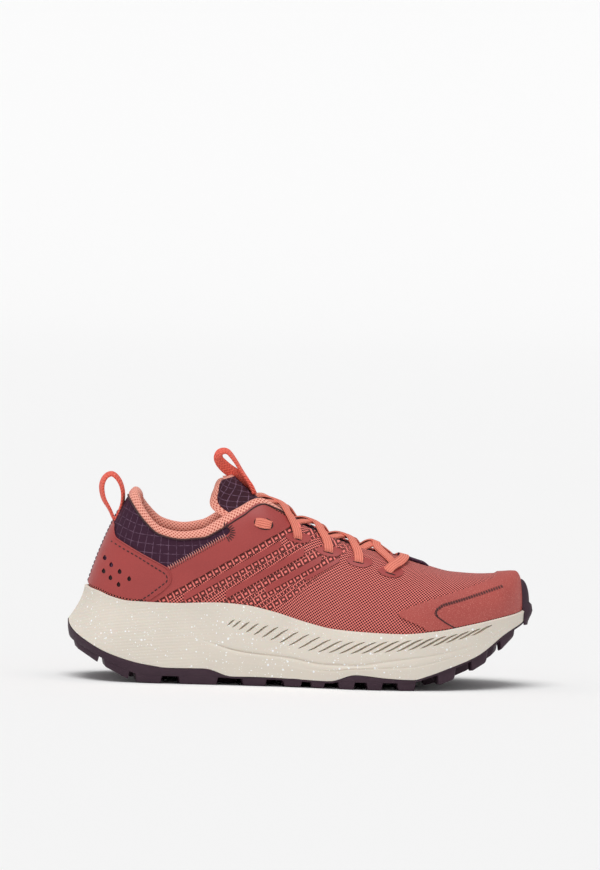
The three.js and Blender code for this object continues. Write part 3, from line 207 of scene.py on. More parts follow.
CREASES = (
    Crease((112, 78), (131, 52), 5, 0.55),  # flex of the toes
    Crease((124, 76), (145, 62), 4.5, 0.4),
    Crease((100, 52), (116, 44), 5, 0.35),
    Crease((-14, 84), (-6, 58), 4, 0.4),  # behind the ankle panel
    Crease((4, 84), (2, 60), 5, 0.3),
    Crease((-41, 100), (-25, 82), 3.5, 0.45),  # over the heel bone
    Crease((-31, 95), (-14, 80), 3, 0.35),
    Crease((27, 101), (50, 97), 6, -0.7),  # lace under the top eyelet
    Crease((62, 84), (52, 66), 5, 0.3),
)


@dataclass(frozen=True)
class ShoeForm:
    """The shoe's own surfaces. A turn u runs round the shoe: 0 at the heel, 1 at the toe and 2 at
    the heel again, first along the lateral side and then back along the medial one."""

    sole_length: float = 280.5
    ball_width: float = 105
    heel_height: float = 115.5
    foam_height: float = 49
    bed_height: float = 33.5
    spring_height: float = 46
    upper_length: float = 266.5
    upper_width: float = 99
    sole_setback: float = 80.5
    upper_setback: float = 68.4
    wall: float = 2.2
    collar_pad: float = 6.2
    tuck: float = 4.5
    rim_width: float = 2.4
    gap: float = 0.3
    step: float = 1e-3

    def station(self, u: Points) -> Points:
        """Station along the shoe of a turn."""
        turn = np.mod(u, 2)
        return np.where(turn <= 1, turn, 2 - turn)

    def sign(self, u: Points) -> Points:
        """Side of a turn: -1 lateral, 1 medial."""
        return np.where(np.mod(u, 2) <= 1, -1.0, 1.0)

    def turn_at(self, side: Side, along: Points | float) -> Points:
        """Turn of a side at a share of the length."""
        s = station_at(along)
        return s if side is Side.LATERAL else 2 - s

    def _plan(self, table: SectionTable, u: Points, length: float, setback: float,
              width: float) -> Points:
        """Plan outline of a table: array (..., 2)."""
        s = self.station(u)
        y = (table.read("centre", s) + self.sign(u) * table.read("half", s)) * width
        return np.stack([along_at(s) * length - setback, y], -1)

    def upper_plan(self, u: Points) -> Points:
        """Plan of the upper at the bite line."""
        return self._plan(UPPER_PLAN, u, self.upper_length, self.upper_setback, self.upper_width)

    def sole_plan(self, u: Points) -> Points:
        """Plan of the sole at its widest line."""
        return self._plan(SOLE_PLAN, u, self.sole_length, self.sole_setback, self.ball_width)

    def grow_plan(self, plan: Callable[[Points], Points], u: Points, distance: Points | float) -> Points:
        """A plan outline moved outwards.

        Args:
            plan: the outline, as a function of turns.
            u: turns.
            distance: how far outwards, in mm.

        Returns:
            Array (..., 2).
        """
        run = plan(u + self.step) - plan(u - self.step)
        out = np.stack([run[..., 1], -run[..., 0]], -1)
        out /= np.linalg.norm(out, axis=-1, keepdims=True)
        return plan(u) + out * np.asarray(distance)[..., None]

    def rim_plan(self, u: Points) -> Points:
        """Plan of the foam's rim."""
        return self.grow_plan(self.upper_plan, u, self.rim_width)

    def bite(self, u: Points) -> Points:
        """Height of the bite line."""
        return BITE_LINE.read("bite", self.station(u)) * self.foam_height

    def bed(self, u: Points) -> Points:
        """Height of the foot bed."""
        return BITE_LINE.read("bed", self.station(u)) * self.bed_height

    def sole_line(self, name: str, u: Points) -> Points:
        """Height of one of the sole's side lines."""
        return SOLE_LINES.read(name, self.station(u)) * self.spring_height

    def ground_at(self, x: Points) -> Points:
        """Height of the lugs' floor side at a place along the shoe."""
        along = np.clip((x + self.sole_setback) / self.sole_length, 0, 1)
        return SOLE_LINES.read("ground", station_at(along)) * self.spring_height

    def upper_point(self, u: Points, t: Points) -> Points:
        """Outer face of the upper.

        Args:
            u: turns.
            t: levels, -1 at the lower edge, 0 at the bite line, 1 at the top.

        Returns:
            Array (..., 3) in mm.
        """
        u, t = np.broadcast_arrays(np.asarray(u, float), np.asarray(t, float))
        s, sign = self.station(u), self.sign(u)
        plan, bite = self.upper_plan(u), self.bite(u)
        top_x = TOP_EDGE.read("top", s) * self.upper_length - self.upper_setback
        top_y = (TOP_EDGE.read("lean", s) + sign * TOP_EDGE.read("half", s)) * self.upper_width
        edge = np.where(sign < 0, TOP_EDGE.read("lateral", s), TOP_EDGE.read("medial", s))
        arch = TOP_EDGE.read("round", s)
        rise = np.clip(t, 0, 1)
        angle = rise * np.pi / 2
        cosine, sine = np.maximum(np.cos(angle), 0), np.maximum(np.sin(angle), 0)
        toe = smooth((along_at(s) - 0.9) / 0.08)
        inward = 1 - ((1 - arch) * (1 - rise) + arch * cosine ** (0.78 + 0.17 * toe))
        climb = (1 - arch) * rise + arch * sine ** 0.9
        wall = np.stack([
            plan[..., 0] + (top_x - plan[..., 0]) * inward,
            plan[..., 1] + (top_y - plan[..., 1]) * inward,
            bite + (edge * self.heel_height - bite) * climb], -1)
        return np.where((t < 0)[..., None], self.tuck_point(u, np.clip(t + 1, 0, 1)), wall)

    def tuck_point(self, u: Points, rise: Points) -> Points:
        """Lower edge of the upper, from under the foot (0) to the bite line (1)."""
        plan = self.grow_plan(self.upper_plan, u, -self.tuck * (1 - rise) ** 2)
        low = self.bed(u) + self.gap
        return np.concatenate([plan, (low + (self.bite(u) - low) * rise ** 1.2)[..., None]], -1)

    def normal(self, u: Points, t: Points) -> Points:
        """Outward normal of the upper's outer face, array (..., 3)."""
        u, t = np.broadcast_arrays(np.asarray(u, float), np.asarray(t, float))
        low, high = np.maximum(-1, t - self.step), np.minimum(1, t + self.step)
        across = self.upper_point(u + self.step, t) - self.upper_point(u - self.step, t)
        out = np.cross(across, self.upper_point(u, high) - self.upper_point(u, low))
        s = self.station(u)
        beside = np.minimum(1, s + self.step), s - self.step
        ridge = [TOP_EDGE.read("top", q) * self.upper_length for q in beside]
        crown = [TOP_EDGE.read("lateral", q) * self.heel_height for q in beside]
        over = np.stack([crown[1] - crown[0], np.zeros_like(s), ridge[0] - ridge[1]], -1)
        closed = (t >= 1 - 1e-9) & (along_at(s) > THROAT_END - self.step)
        out = np.where(closed[..., None], over, out)
        return out / np.maximum(np.linalg.norm(out, axis=-1, keepdims=True), 1e-12)

    def skin(self, u: Points, t: Points, distance: Points | float = 0) -> Points:
        """The upper's outer face with its creases, moved outwards.

        Args:
            u: turns.
            t: levels.
            distance: how far outwards, in mm.

        Returns:
            Array (..., 3) in mm.
        """
        base = self.upper_point(u, t)
        depth = sum(crease.at(base) for crease in CREASES)
        return base + self.normal(u, t) * (np.asarray(distance) - depth)[..., None]

    def wall_at(self, u: Points, t: Points) -> Points:
        """Thickness of the upper's wall: thin over the foot, padded round the ankle."""
        ankle = smooth((0.43 - along_at(self.station(u))) / 0.1)
        return self.wall + (self.collar_pad - self.wall) * ankle * smooth((t - 0.3) / 0.4)

    def locate(self, side: Side, seen: Line) -> Points:
        """Finds places on the skin by where they are seen from the side.

        Args:
            side: side of the shoe.
            seen: pairs (x, z) in mm.

        Returns:
            Array (n, 2) of turns and levels.
        """
        stations, levels = np.linspace(0.02, 0.985, 240), np.linspace(0, 1, 120)
        turns = stations if side is Side.LATERAL else 2 - stations
        grid_u, grid_t = np.meshgrid(turns, levels)
        flat = self.upper_point(grid_u, grid_t)[..., [0, 2]]
        found = []
        for x, z in seen:
            away = (flat[..., 0] - x) ** 2 + (flat[..., 1] - z) ** 2
            at = np.unravel_index(np.argmin(away), away.shape)
            place = np.array([grid_u[at], grid_t[at]])
            for _ in range(6):
                here = self.upper_point(place[0], place[1])[[0, 2]]
                du = (self.upper_point(place[0] + 1e-4, place[1])[[0, 2]] - here) / 1e-4
                dt = (here - self.upper_point(place[0], place[1] - 1e-4)[[0, 2]]) / 1e-4
                jacobian = np.stack([du, dt], -1)
                if abs(np.linalg.det(jacobian)) < 1e-3:
                    break
                move = np.linalg.solve(jacobian, np.array([x, z]) - here)
                place = place + np.clip(move, -0.02, 0.02)
                place[1] = np.clip(place[1], 0, 1)
            found.append(place)
        return np.array(found)

    def foam_side(self, u: Points, count: int) -> Points:
        """Side of the foam from the rim down to the rubber.

        Args:
            u: turns, array (n,).
            count: points down the side.

        Returns:
            Array (count, n, 3).
        """
        s = self.station(u)
        rim = self.bite(u) - self.gap
        crease, rubber = self.sole_line("crease", u), self.sole_line("rubber", u)
        upper, middle = SOLE_LINES.read("out_upper", s), SOLE_LINES.read("out_crease", s)
        lower, foot = SOLE_LINES.read("out_lower", s), SOLE_LINES.read("out_rubber", s)
        top = np.minimum(crease, rim - 3)
        below = np.maximum(self.gap, top - rubber - self.gap)
        notch = np.minimum(1.6, below / 4)
        step = smooth((along_at(s) - 0.27) / 0.1)
        ledge = smooth((along_at(s) - 0.5) / 0.12) * smooth((1 - along_at(s)) / 0.1)
        outs = [0 * s, upper * 0.7, upper + (middle - upper) * 0.55, middle + 0.06 * step,
                middle - 0.16 * step, middle + (lower - middle) * 0.72, lower + 0.03 * ledge,
                lower - 0.14 * ledge, lower, lower + (foot - lower) * 0.6, foot]
        heights = [rim, rim - (rim - top) * 0.3, rim - (rim - top) * 0.65, top + notch * 0.6, top - 0.1,
                   top - notch, top - below * 0.33, top - below * 0.42, top - below * 0.5,
                   top - below * 0.8, rubber + self.gap]
        out_rows, height_rows = np.stack(outs), np.stack(heights)
        beside = smooth(along_at(s) / 0.1)  # hollow at the very back, one soft S beside it
        fall = np.clip((rim - height_rows) / (rim - rubber), 0, 1)
        heel = foot * (beside * np.sin(fall * np.pi / 2) ** 1.5 + (1 - beside) * fall ** 1.6)
        out_rows += (heel - out_rows) * (1 - step)
        rows = resample(np.stack([out_rows, height_rows], -1), count)
        rim_plan, sole_plan = self.rim_plan(u), self.sole_plan(u)
        plan = rim_plan[None] + (sole_plan - rim_plan)[None] * rows[..., :1]
        return np.concatenate([plan, rows[..., 1:]], -1)


def resample(rows: Points, count: int) -> Points:
    """Smooth curve through rows, read at evenly spaced places.

    Args:
        rows: array (k, ...) of points of the curve.
        count: number of places.

    Returns:
        Array (count, ...).
    """
    place = np.linspace(0, len(rows) - 1, count)
    i = np.clip(place.astype(int), 0, len(rows) - 2)
    t = (place - i).reshape((-1,) + (1,) * (rows.ndim - 1))
    a, b = rows[i], rows[i + 1]
    p, q = (b - rows[np.maximum(i - 1, 0)]) / 2, (rows[np.minimum(i + 2, len(rows) - 1)] - a) / 2
    return a + t * (p + t * (3 * (b - a) - 2 * p - q + t * (p + q - 2 * (b - a))))


def unit(v: Points) -> Points:
    """Vectors of length one."""
    return v / np.maximum(np.linalg.norm(v, axis=-1, keepdims=True), 1e-12)


def level(run: Points, out: Points) -> Points:
    """Directions made level with a surface that faces out."""
    return unit(run - out * np.sum(run * out, axis=1, keepdims=True))


def lengths(path: Points) -> Points:
    """Length along a path, at each of its points."""
    return np.concatenate([[0], np.cumsum(np.linalg.norm(np.diff(path, axis=0), axis=1))])


def raised(plan: Points, height: Points) -> Points:
    """Points of a plan (n, 2) at heights (n,)."""
    return np.concatenate([plan, height[:, None]], 1)


FORM = ShoeForm()


def pins(spots: Points, height: float) -> tuple[Points, Points]:
    """Points over places (..., 2) on the skin, and the way that the skin faces there."""
    return FORM.skin(spots[..., 0], spots[..., 1], height), FORM.normal(spots[..., 0], spots[..., 1])


# ---- workshop: how meshes are made


def deselect() -> None:
    """Leaves nothing selected, so that an operator works on the new piece alone."""
    bpy.ops.object.select_all(action="DESELECT")


def pick(obj: Piece) -> Piece:
    """Selects one object alone and makes it active."""
    deselect()
    obj.select_set(True)
    bpy.context.view_layer.objects.active = obj
    return obj


def apply_modifier(obj: Piece, kind: str, **settings: Any) -> Piece:
    """Adds a modifier and applies it.

    Args:
        obj: the piece.
        kind: type of the modifier.
        **settings: its settings.

    Returns:
        The piece.
    """
    pick(obj)
    modifier = obj.modifiers.new(kind.title(), kind)
    for key, value in settings.items():
        setattr(modifier, key, value)
    bpy.ops.object.modifier_apply(modifier=modifier.name)
    return obj


def weld(obj: Piece, outward: bool = False, closing: Callable[[], Any] | None = None) -> Piece:
    """Merges doubles, closes seams, and turns the faces of a closed form outwards.

    Args:
        obj: the piece.
        outward: whether it is closed, with all its faces to point out.
        closing: operator that first fills or joins its open edges.

    Returns:
        The piece.
    """
    pick(obj)
    bpy.ops.object.mode_set(mode="EDIT")
    bpy.ops.mesh.select_all(action="SELECT")
    bpy.ops.mesh.remove_doubles(threshold=2e-6)
    if closing:
        bpy.ops.mesh.select_all(action="DESELECT")
        bpy.ops.mesh.select_non_manifold()
        closing()
        bpy.ops.mesh.select_all(action="SELECT")
    if outward:
        bpy.ops.mesh.normals_make_consistent(inside=False)
    bpy.ops.object.mode_set(mode="OBJECT")
    return obj


def sheet(name: str, points: Points, uv: Points | None = None, outward: bool = False,
          closing: Callable[[], Any] | None = None) -> Piece:
    """A grid laid over points, welded where its edges meet.

    Args:
        name: the piece's name.
        points: array (rows, columns, 3) in mm. It faces the viewer who sees the columns run right
            and the rows run up.
        uv: array (rows, columns, 2) of places in mm for woven patterns.
        outward: whether the grid closes into a solid.
        closing: operator that fills its open edges.

    Returns:
        The new piece.
    """
    rows, columns = points.shape[:2]
    deselect()
    bpy.ops.mesh.primitive_grid_add(x_subdivisions=columns - 1, y_subdivisions=rows - 1, size=1)
    obj = bpy.context.object
    mesh = obj.data
    obj.name = mesh.name = name
    mesh.vertices.foreach_set("co", (points * MM).reshape(-1).astype(np.float32))
    if uv is not None:
        corners = np.empty(len(mesh.loops), dtype=np.int32)
        mesh.loops.foreach_get("vertex_index", corners)
        flat = uv.reshape(-1, 2)[corners].reshape(-1).astype(np.float32)
        mesh.uv_layers.active.data.foreach_set("uv", flat)
    mesh.update()
    return weld(obj, outward, closing)


def thicken(obj: Piece, mm: float, outwards: bool = True) -> Piece:
    """Gives a sheet its thickness, on its outer or its inner side."""
    return apply_modifier(obj, "SOLIDIFY", thickness=mm * MM, offset=1 if outwards else -1)


def prism(outline: Line, low: float, high: float) -> Piece:
    """An outline in side view pulled through the shoe.

    Args:
        outline: points (x, z) in mm.
        low: the lower end in Y, in mm.
        high: the upper end in Y, in mm.

    Returns:
        The new cutter.
    """
    deselect()
    bpy.ops.mesh.primitive_circle_add(vertices=len(outline), fill_type="NGON", radius=1)
    obj = bpy.context.object
    for vertex, (x, z) in zip(obj.data.vertices, outline):
        vertex.co = Vector((x, low, z)) * MM
    pull = {"value": (0, (high - low) * MM, 0)}
    return weld(obj, True, partial(bpy.ops.mesh.extrude_region_move, TRANSFORM_OT_translate=pull))


def carve(obj: Piece, cutter: Piece, operation: str) -> Piece:
    """Cuts a piece with a cutter, which is then thrown away.

    Args:
        obj: the piece.
        cutter: the cutter.
        operation: DIFFERENCE or INTERSECT.

    Returns:
        The piece.
    """
    apply_modifier(obj, "BOOLEAN", operation=operation, object=cutter, solver="EXACT")
    bpy.data.objects.remove(cutter, do_unlink=True)
    return obj


def join(name: str, pieces: Sequence[Piece]) -> Piece:
    """Joins pieces into one.

    Args:
        name: name of the result.
        pieces: the pieces.

    Returns:
        The joined piece.
    """
    deselect()
    for piece in pieces:
        piece.select_set(True)
    bpy.context.view_layer.objects.active = pieces[0]
    if len(pieces) > 1:
        bpy.ops.object.join()
    pieces[0].name = name
    return pieces[0]


def rounded(outline: Line, radius: float = 2.0) -> Points:
    """Rounds the corners of a closed outline.

    Args:
        outline: points (x, z).
        radius: how far from a corner its rounding starts, in mm, at most a third of an edge.

    Returns:
        Array (n, 2).
    """
    points = np.array(outline, dtype=float)
    for reach in (radius, radius * 0.4):
        after, before = np.roll(points, -1, axis=0), np.roll(points, 1, axis=0)
        ahead, behind = after - points, before - points
        cuts = []
        for run in (behind, ahead):
            size = np.linalg.norm(run, axis=1, keepdims=True)
            cuts.append(points + run / size * np.minimum(reach, size / 3))
        points = np.stack(cuts, 1).reshape(-1, 2)
    return points


def evenly(path: Points, spacing: float) -> Points:
    """Points at even spacing along a path.

    Args:
        path: array (n, d).
        spacing: distance between points.

    Returns:
        Array (m, d).
    """
    away = lengths(path)
    places = np.arange(0, away[-1], spacing)
    return np.stack([np.interp(places, away, path[:, i]) for i in range(path.shape[1])], -1)


def ribbon(name: str, path: Points, facing: Points, width: float, thick: float,
           closed: bool = False) -> Piece:
    """A flat band swept along a path.

    Args:
        name: the piece's name.
        path: array (n, 3) in mm.
        facing: array (n, 3), the way its broad face looks.
        width: its width in mm.
        thick: its thickness in mm.
        closed: whether it runs into its own start.

    Returns:
        The new piece, with UV along and across in mm.
    """
    run = unit(np.roll(path, -1, axis=0) - np.roll(path, 1, axis=0) if closed else np.gradient(path, axis=0))
    across = unit(np.cross(facing, run))
    lift = np.cross(run, across)
    half = np.array([(-0.5, -0.2), (-0.44, -0.5), (-0.2, -0.54), (0.2, -0.54), (0.44, -0.5), (0.5, -0.2)])
    section = np.concatenate([half, -half, half[:1]]) * (width, thick)
    points = path[None] + section[:, None, :1] * across[None] + section[:, None, 1:] * lift[None]
    steps = lengths(path)
    uv = np.stack(np.meshgrid(steps, lengths(section)), -1)
    if closed:
        points = np.concatenate([points, points[:, :1]], 1)
        uv = np.concatenate([uv, uv[:, -1:] + [[steps[1], 0]]], 1)
    return sheet(name, points, uv, True, None if closed else bpy.ops.mesh.edge_face_add)


def scatter(name: str, places: Points, axes: Points, size: Sequence[float]) -> Piece:
    """Copies of one small rounded bead, as stitches or flecks.

    Args:
        name: the piece's name.
        places: array (n, 3) in mm.
        axes: array (n, 3, 3), rows are the bead's length, width and height directions.
        size: its length, width and height in mm.

    Returns:
        The new piece, one mesh.
    """
    deselect()
    bpy.ops.mesh.primitive_uv_sphere_add(segments=8, ring_count=6, radius=0.5)
    bead = bpy.context.object
    local = np.array([tuple(v.co) for v in bead.data.vertices])[:, [2, 1, 0]] * np.array(size)
    faces = [tuple(p.vertices)[::-1] for p in bead.data.polygons]
    bpy.data.objects.remove(bead, do_unlink=True)
    verts = (places[:, None] + np.einsum("vi,nij->nvj", local, axes)).reshape(-1, 3) * MM
    all_faces = [tuple(i + k * len(local) for i in face) for k in range(len(places)) for face in faces]
    mesh = bpy.data.meshes.new(name)
    mesh.from_pydata(verts.tolist(), [], all_faces)
    obj = bpy.data.objects.new(name, mesh)
    bpy.context.collection.objects.link(obj)
    return weld(obj, outward=True)


def soften(obj: Piece, degrees: float = 40) -> Piece:
    """Smooth shading, with sharp edges kept beyond an angle."""
    pick(obj)
    bpy.ops.object.shade_smooth_by_angle(angle=math.radians(degrees))
    return obj


# ---- finishes


def linear(code: str) -> tuple[float, float, float, float]:
    """Linear colour of an sRGB hex value such as C4605A."""
    parts = [int(code[i:i + 2], 16) / 255 for i in (0, 2, 4)]
    lit = [c / 12.92 if c <= 0.04045 else ((c + 0.055) / 1.055) ** 2.4 for c in parts]
    return (*lit, 1.0)


def add(tree: bpy.types.NodeTree, kind: str, *values: Any, out: str | int = 0, **named: Any) -> Socket:
    """Adds a node with its settings and links.

    Args:
        tree: the material's tree.
        kind: type of the node without its ShaderNode prefix, or an operation of Math in capitals.
        *values: sockets to link from, or plain values, for its first inputs. None leaves one as it is.
        out: which output to give back.
        **named: settings, and more inputs, which start with a capital and have _ for spaces.

    Returns:
        The chosen output.
    """
    node = tree.nodes.new("ShaderNode" + ("Math" if kind.isupper() else kind))
    if kind.isupper():
        node.operation = kind
    inputs = dict(enumerate(values))
    for key, value in named.items():
        if key[0].isupper():
            inputs[key.replace("_", " ")] = value
        else:
            setattr(node, key, value)
    for key, value in inputs.items():
        if isinstance(value, Socket):
            tree.links.new(value, node.inputs[key])
        elif value is not None:
            node.inputs[key].default_value = value
    return node.outputs[out]


def blend(node: Nodes, share: Socket | float, low: Socket | str, high: Socket | str) -> Socket:
    """Colour that goes from one to another, each a socket or an sRGB hex value, by a share."""
    ends = [linear(end) if isinstance(end, str) else end for end in (low, high)]
    return node("Mix", share, *[None] * 5, *ends, out=2, data_type="RGBA")


def wave(node: Nodes, place: Socket, pitch: float = 1.0) -> Socket:
    """Sine wave from -1 to 1 along a place, once in each pitch."""
    return node("SINE", node("MULTIPLY", place, math.tau / pitch))


@dataclass(frozen=True)
class Finish:
    """A finish of the shoe, plain here. Colours are sRGB hex values and sizes are millimetres."""

    name: str
    colour: str
    roughness: float
    sockets: Sequence[tuple[str, float]] = ()  # more values of the Principled shader

    def build(self) -> bpy.types.Material:
        """Makes the material.

        Returns:
            A new material with a Principled shader, its colour and its relief.
        """
        material = bpy.data.materials.new(self.name)
        material.use_nodes = True
        tree = material.node_tree
        shader = tree.nodes["Principled BSDF"].inputs
        for key, value in (("Base Color", linear(self.colour)), ("Roughness", self.roughness), *self.sockets):
            shader[key].default_value = value
        colour, height, depth = self.look(partial(add, tree))
        if colour is not None:
            tree.links.new(colour, shader["Base Color"])
        if height is not None:
            bump = add(tree, "Bump", Height=height, Distance=depth * MM, Strength=1.0)
            tree.links.new(bump, shader["Normal"])
        return material

    def look(self, node: Nodes) -> Look:
        """Colour and relief of the finish: none, where its values say all."""
        return None, None, 0.0

    def place(self, node: Nodes, scale: float, uv: bool = False, turn: Sequence[float] = (0, 0, 0)) -> Socket:
        """Places on the piece, in units of a real length.

        Args:
            node: adds a node.
            scale: that length in mm.
            uv: whether to follow the piece's own UV map, which is in mm.
            turn: rotation in degrees.

        Returns:
            A vector output.
        """
        source = node("TexCoord", out="UV" if uv else "Object")
        size = 1 / (scale if uv else scale * MM)
        return node("Mapping", source, Scale=(size,) * 3, Rotation=tuple(math.radians(a) for a in turn))

    def axes(self, node: Nodes, scale: float, uv: bool = True,
             turn: Sequence[float] = (0, 0, 0)) -> list[Socket]:
        """The three parts of such places."""
        return list(node("SeparateXYZ", self.place(node, scale, uv, turn)).node.outputs)

    def noise(self, node: Nodes, size: float, detail: float) -> Socket:
        """Cloudy noise with clouds of a size in mm."""
        return node("TexNoise", self.place(node, size), Scale=1.0, Detail=detail)


@dataclass(frozen=True)
class MeshFinish(Finish):
    """Engineered polyester mesh, warp knitted: bright threads round dark open holes, with rows of
    larger square cells that rise along the quarter."""

    sockets: Sequence[tuple[str, float]] = (("Sheen Weight", 0.08), ("Specular IOR Level", 0.25))
    gap_colour: str = "2C090D"
    light_colour: str = "FFA89C"
    pitch: float = 2.0  # two holes in each; drawn a little coarser than the real one, so that it shows
    rise: float = 30.2  # degrees
    cell: float = 4.6  # from one cell of a row to the next
    reach: tuple[float, float] = (14.0, 64.0)  # heights between which the rows lie
    top_row: float = 54.3
    cell_rows: Line = ((0, 3.6), (-7.7, 3.5), (-20.6, 3.3), (-27.2, 3.2), (-34.6, 3.1))
    dash_rows: Line = ((-11.1, 1.4), (-17.9, 1.3), (-24.2, 1.2), (-31.0, 1.3))

    def look(self, node: Nodes) -> Look:
        """Open holes on the diagonal, and the rows of cells over them."""
        x, y, _ = self.axes(node, self.pitch, turn=(0, 0, 8))
        plain = node("MapRange", node("MULTIPLY", wave(node, x), wave(node, y)), 0.22, -0.12)
        # rows of cells, in side view turned along their rise
        along, _, up = self.axes(node, 1.0, uv=False, turn=(0, self.rise, 0))
        kinds = node("ValToRGB", node("MapRange", up, *self.reach))
        self.set_rows(kinds.node.color_ramp)
        ring_row, dash_row, centre_row = node("SeparateColor", kinds).node.outputs
        cell = node("FRACT", node("MULTIPLY", along, 1 / self.cell))
        ring = node("ABSOLUTE", node("SUBTRACT", cell, 0.5))
        centre = node("MULTIPLY", node("LESS_THAN", ring, 0.18), centre_row)
        dash = node("LESS_THAN", node("FRACT", node("MULTIPLY", cell, 2.0)), 0.72)
        dark = node("SUBTRACT", node("MULTIPLY", node("LESS_THAN", ring, 0.41), ring_row), centre)
        dark = node("ADD", dark, node("MULTIPLY", dash, dash_row), use_clamp=True)
        pores = node("MAXIMUM", plain, node("ADD", ring_row, dash_row, use_clamp=True))
        cells = node("MINIMUM", node("MULTIPLY_ADD", dark, -0.88, 1.0), pores)
        # the rows fade into the plain mesh towards the ball of the foot
        border = node("MULTIPLY_ADD", node("MapRange", up, 15.0, 27.0), 60.0, 62.0)
        fade = node("MapRange", node("SUBTRACT", border, along), -6.0, 6.0)
        fade = node("MULTIPLY", fade, node("GREATER_THAN", up, 17.0))
        threads = node("Mix", fade, A=plain, B=cells, data_type="FLOAT")
        drift = blend(node, self.noise(node, 45, 3.0), self.colour, self.light_colour)
        tone = blend(node, 0.35, self.colour, drift)
        return blend(node, threads, self.gap_colour, tone), threads, 0.35

    def set_rows(self, ramp: bpy.types.ColorRamp) -> None:
        """Sets a ramp to the rows across the rise: red for cells, with blue for their middle, and
        green for dashes."""
        marks: list[tuple[float, str]] = []
        for rows, parts in ((self.cell_rows, ((0, "FF0000"), (0.31, "FF00FF"), (0.69, "FF0000"))),
                            (self.dash_rows, ((0, "00FF00"),))):
            for centre, width in rows:
                low = self.top_row + centre - width / 2
                marks += [(low + width * share, code) for share, code in (*parts, (1, "000000"))]
        low, high = self.reach
        stops = [(0.0, "000000")] + [((z - low) / (high - low), code) for z, code in sorted(marks)]
        ramp.interpolation = "CONSTANT"
        while len(ramp.elements) < len(stops):
            ramp.elements.new(0.5)
        for element, (place, code) in zip(ramp.elements, stops):
            element.position = place
            element.color = linear(code)


@dataclass(frozen=True)
class FilmFinish(Finish):
    """Thermoplastic film, hot pressed over the mesh: satin, with a fine pebbled skin that shows the
    knit under it a little."""

    sockets: Sequence[tuple[str, float]] = (("Specular IOR Level", 0.32), ("Coat Weight", 0.12),
                                            ("Coat Roughness", 0.35))
    speckle: float = 0.0
    edge_colour: str = "843133"
    fleck_colour: str = "EFA08E"

    def look(self, node: Nodes) -> Look:
        """Slow drift of the tone, fine pebbles, and pale grit on the toe."""
        wide = node("MapRange", self.noise(node, 28, 4.0), 0.3, 0.7)
        base = blend(node, 0.22, self.colour, blend(node, wide, self.edge_colour, self.colour))
        pebble = node("TexVoronoi", self.place(node, 0.9), Scale=1.0, feature="SMOOTH_F1")
        grit = self.noise(node, 0.55, 2.0)
        fleck = node("MULTIPLY", node("MapRange", grit, 0.56, 0.68), self.speckle)
        skin = node("ADD", pebble, grit)
        return blend(node, fleck, base, self.fleck_colour), skin, 0.05 + 0.2 * self.speckle


@dataclass(frozen=True)
class FoamFinish(Finish):
    """Moulded EVA foam with pale regrind flecks; the mould leaves fine level lines at the heel."""

    sockets: Sequence[tuple[str, float]] = (("Specular IOR Level", 0.3), ("Subsurface Weight", 0.06),
                                            ("Subsurface Scale", 0.004))
    fleck_colour: str = "FFFFFF"
    shade_colour: str = "C4BCB0"
    flecks: Line = ((3.1, 0.23), (2.0, 0.2), (1.3, 0.19))  # pitch, and largest radius in shares of it
    line_pitch: float = 0.9

    def look(self, node: Nodes) -> Look:
        """Flecks of three sizes in clouds, and the mould's lines."""
        drift = blend(node, self.noise(node, 30, 3.0), self.colour, self.shade_colour)
        base = blend(node, 0.35, self.colour, drift)
        cloud = node("MapRange", self.noise(node, 38, 2.0), 0.35, 0.65, 0.7, 1.15)
        flecks: Socket | float = 0.0
        for pitch, reach in self.flecks:
            spots = node("TexVoronoi", self.place(node, pitch), Scale=1.0, Randomness=1.0).node.outputs
            limit = node("MapRange", node("SeparateColor", spots["Color"]), 0.2, 1.0, 0.0, reach)
            dot = node("LESS_THAN", spots["Distance"], node("MULTIPLY", limit, cloud))
            flecks = node("MAXIMUM", flecks, dot)
        x, _, z = self.axes(node, 1.0, uv=False)
        lines = node("MULTIPLY", wave(node, z, self.line_pitch), node("MapRange", x, 30.0, -20.0, 0.0, 0.5))
        relief = node("ADD", lines, self.noise(node, 1.2, 3.0))
        return blend(node, flecks, base, self.fleck_colour), relief, 0.07


@dataclass(frozen=True)
class RubberFinish(Finish):
    """Carbon rubber, pressed in a blasted mould: matt, a little dusty on its raised edges."""

    sockets: Sequence[tuple[str, float]] = (("Specular IOR Level", 0.3),)
    dust_colour: str = "4C3843"

    def look(self, node: Nodes) -> Look:
        """Thin dust over a blasted grain."""
        dust = node("MapRange", self.noise(node, 9, 5.0), 0.45, 0.8, 0.0, 0.45)
        return blend(node, dust, self.colour, self.dust_colour), self.noise(node, 0.5, 2.0), 0.05


@dataclass(frozen=True)
class RipstopFinish(Finish):
    """Plain-woven nylon ripstop: a flat dark cloth crossed by paler doubled threads."""

    sockets: Sequence[tuple[str, float]] = (("Specular IOR Level", 0.2),)
    thread_colour: str = "8C6C84"
    square: float = 4.6
    turn: float = 0.0
    contrast: float = 0.5
    weave: float = 0.7

    def look(self, node: Nodes) -> Look:
        """Squares of broken pale threads over a plain weave."""
        lines, waves = [], []
        for place in self.axes(node, 1.0, turn=(0, 0, self.turn))[:2]:
            cell = node("FRACT", node("MULTIPLY", place, 1 / self.square))
            lines.append(node("LESS_THAN", node("ABSOLUTE", node("SUBTRACT", cell, 0.5)), 0.045))
            waves.append(wave(node, place, self.weave))
        grid = node("MAXIMUM", *lines)
        broken = node("MULTIPLY", grid, node("MapRange", self.noise(node, 2.2, 2.0), 0.3, 0.65))
        seen = node("MULTIPLY", broken, self.contrast)
        relief = node("MULTIPLY_ADD", grid, 2.0, node("MULTIPLY", *waves))
        return blend(node, seen, self.colour, self.thread_colour), relief, 0.06


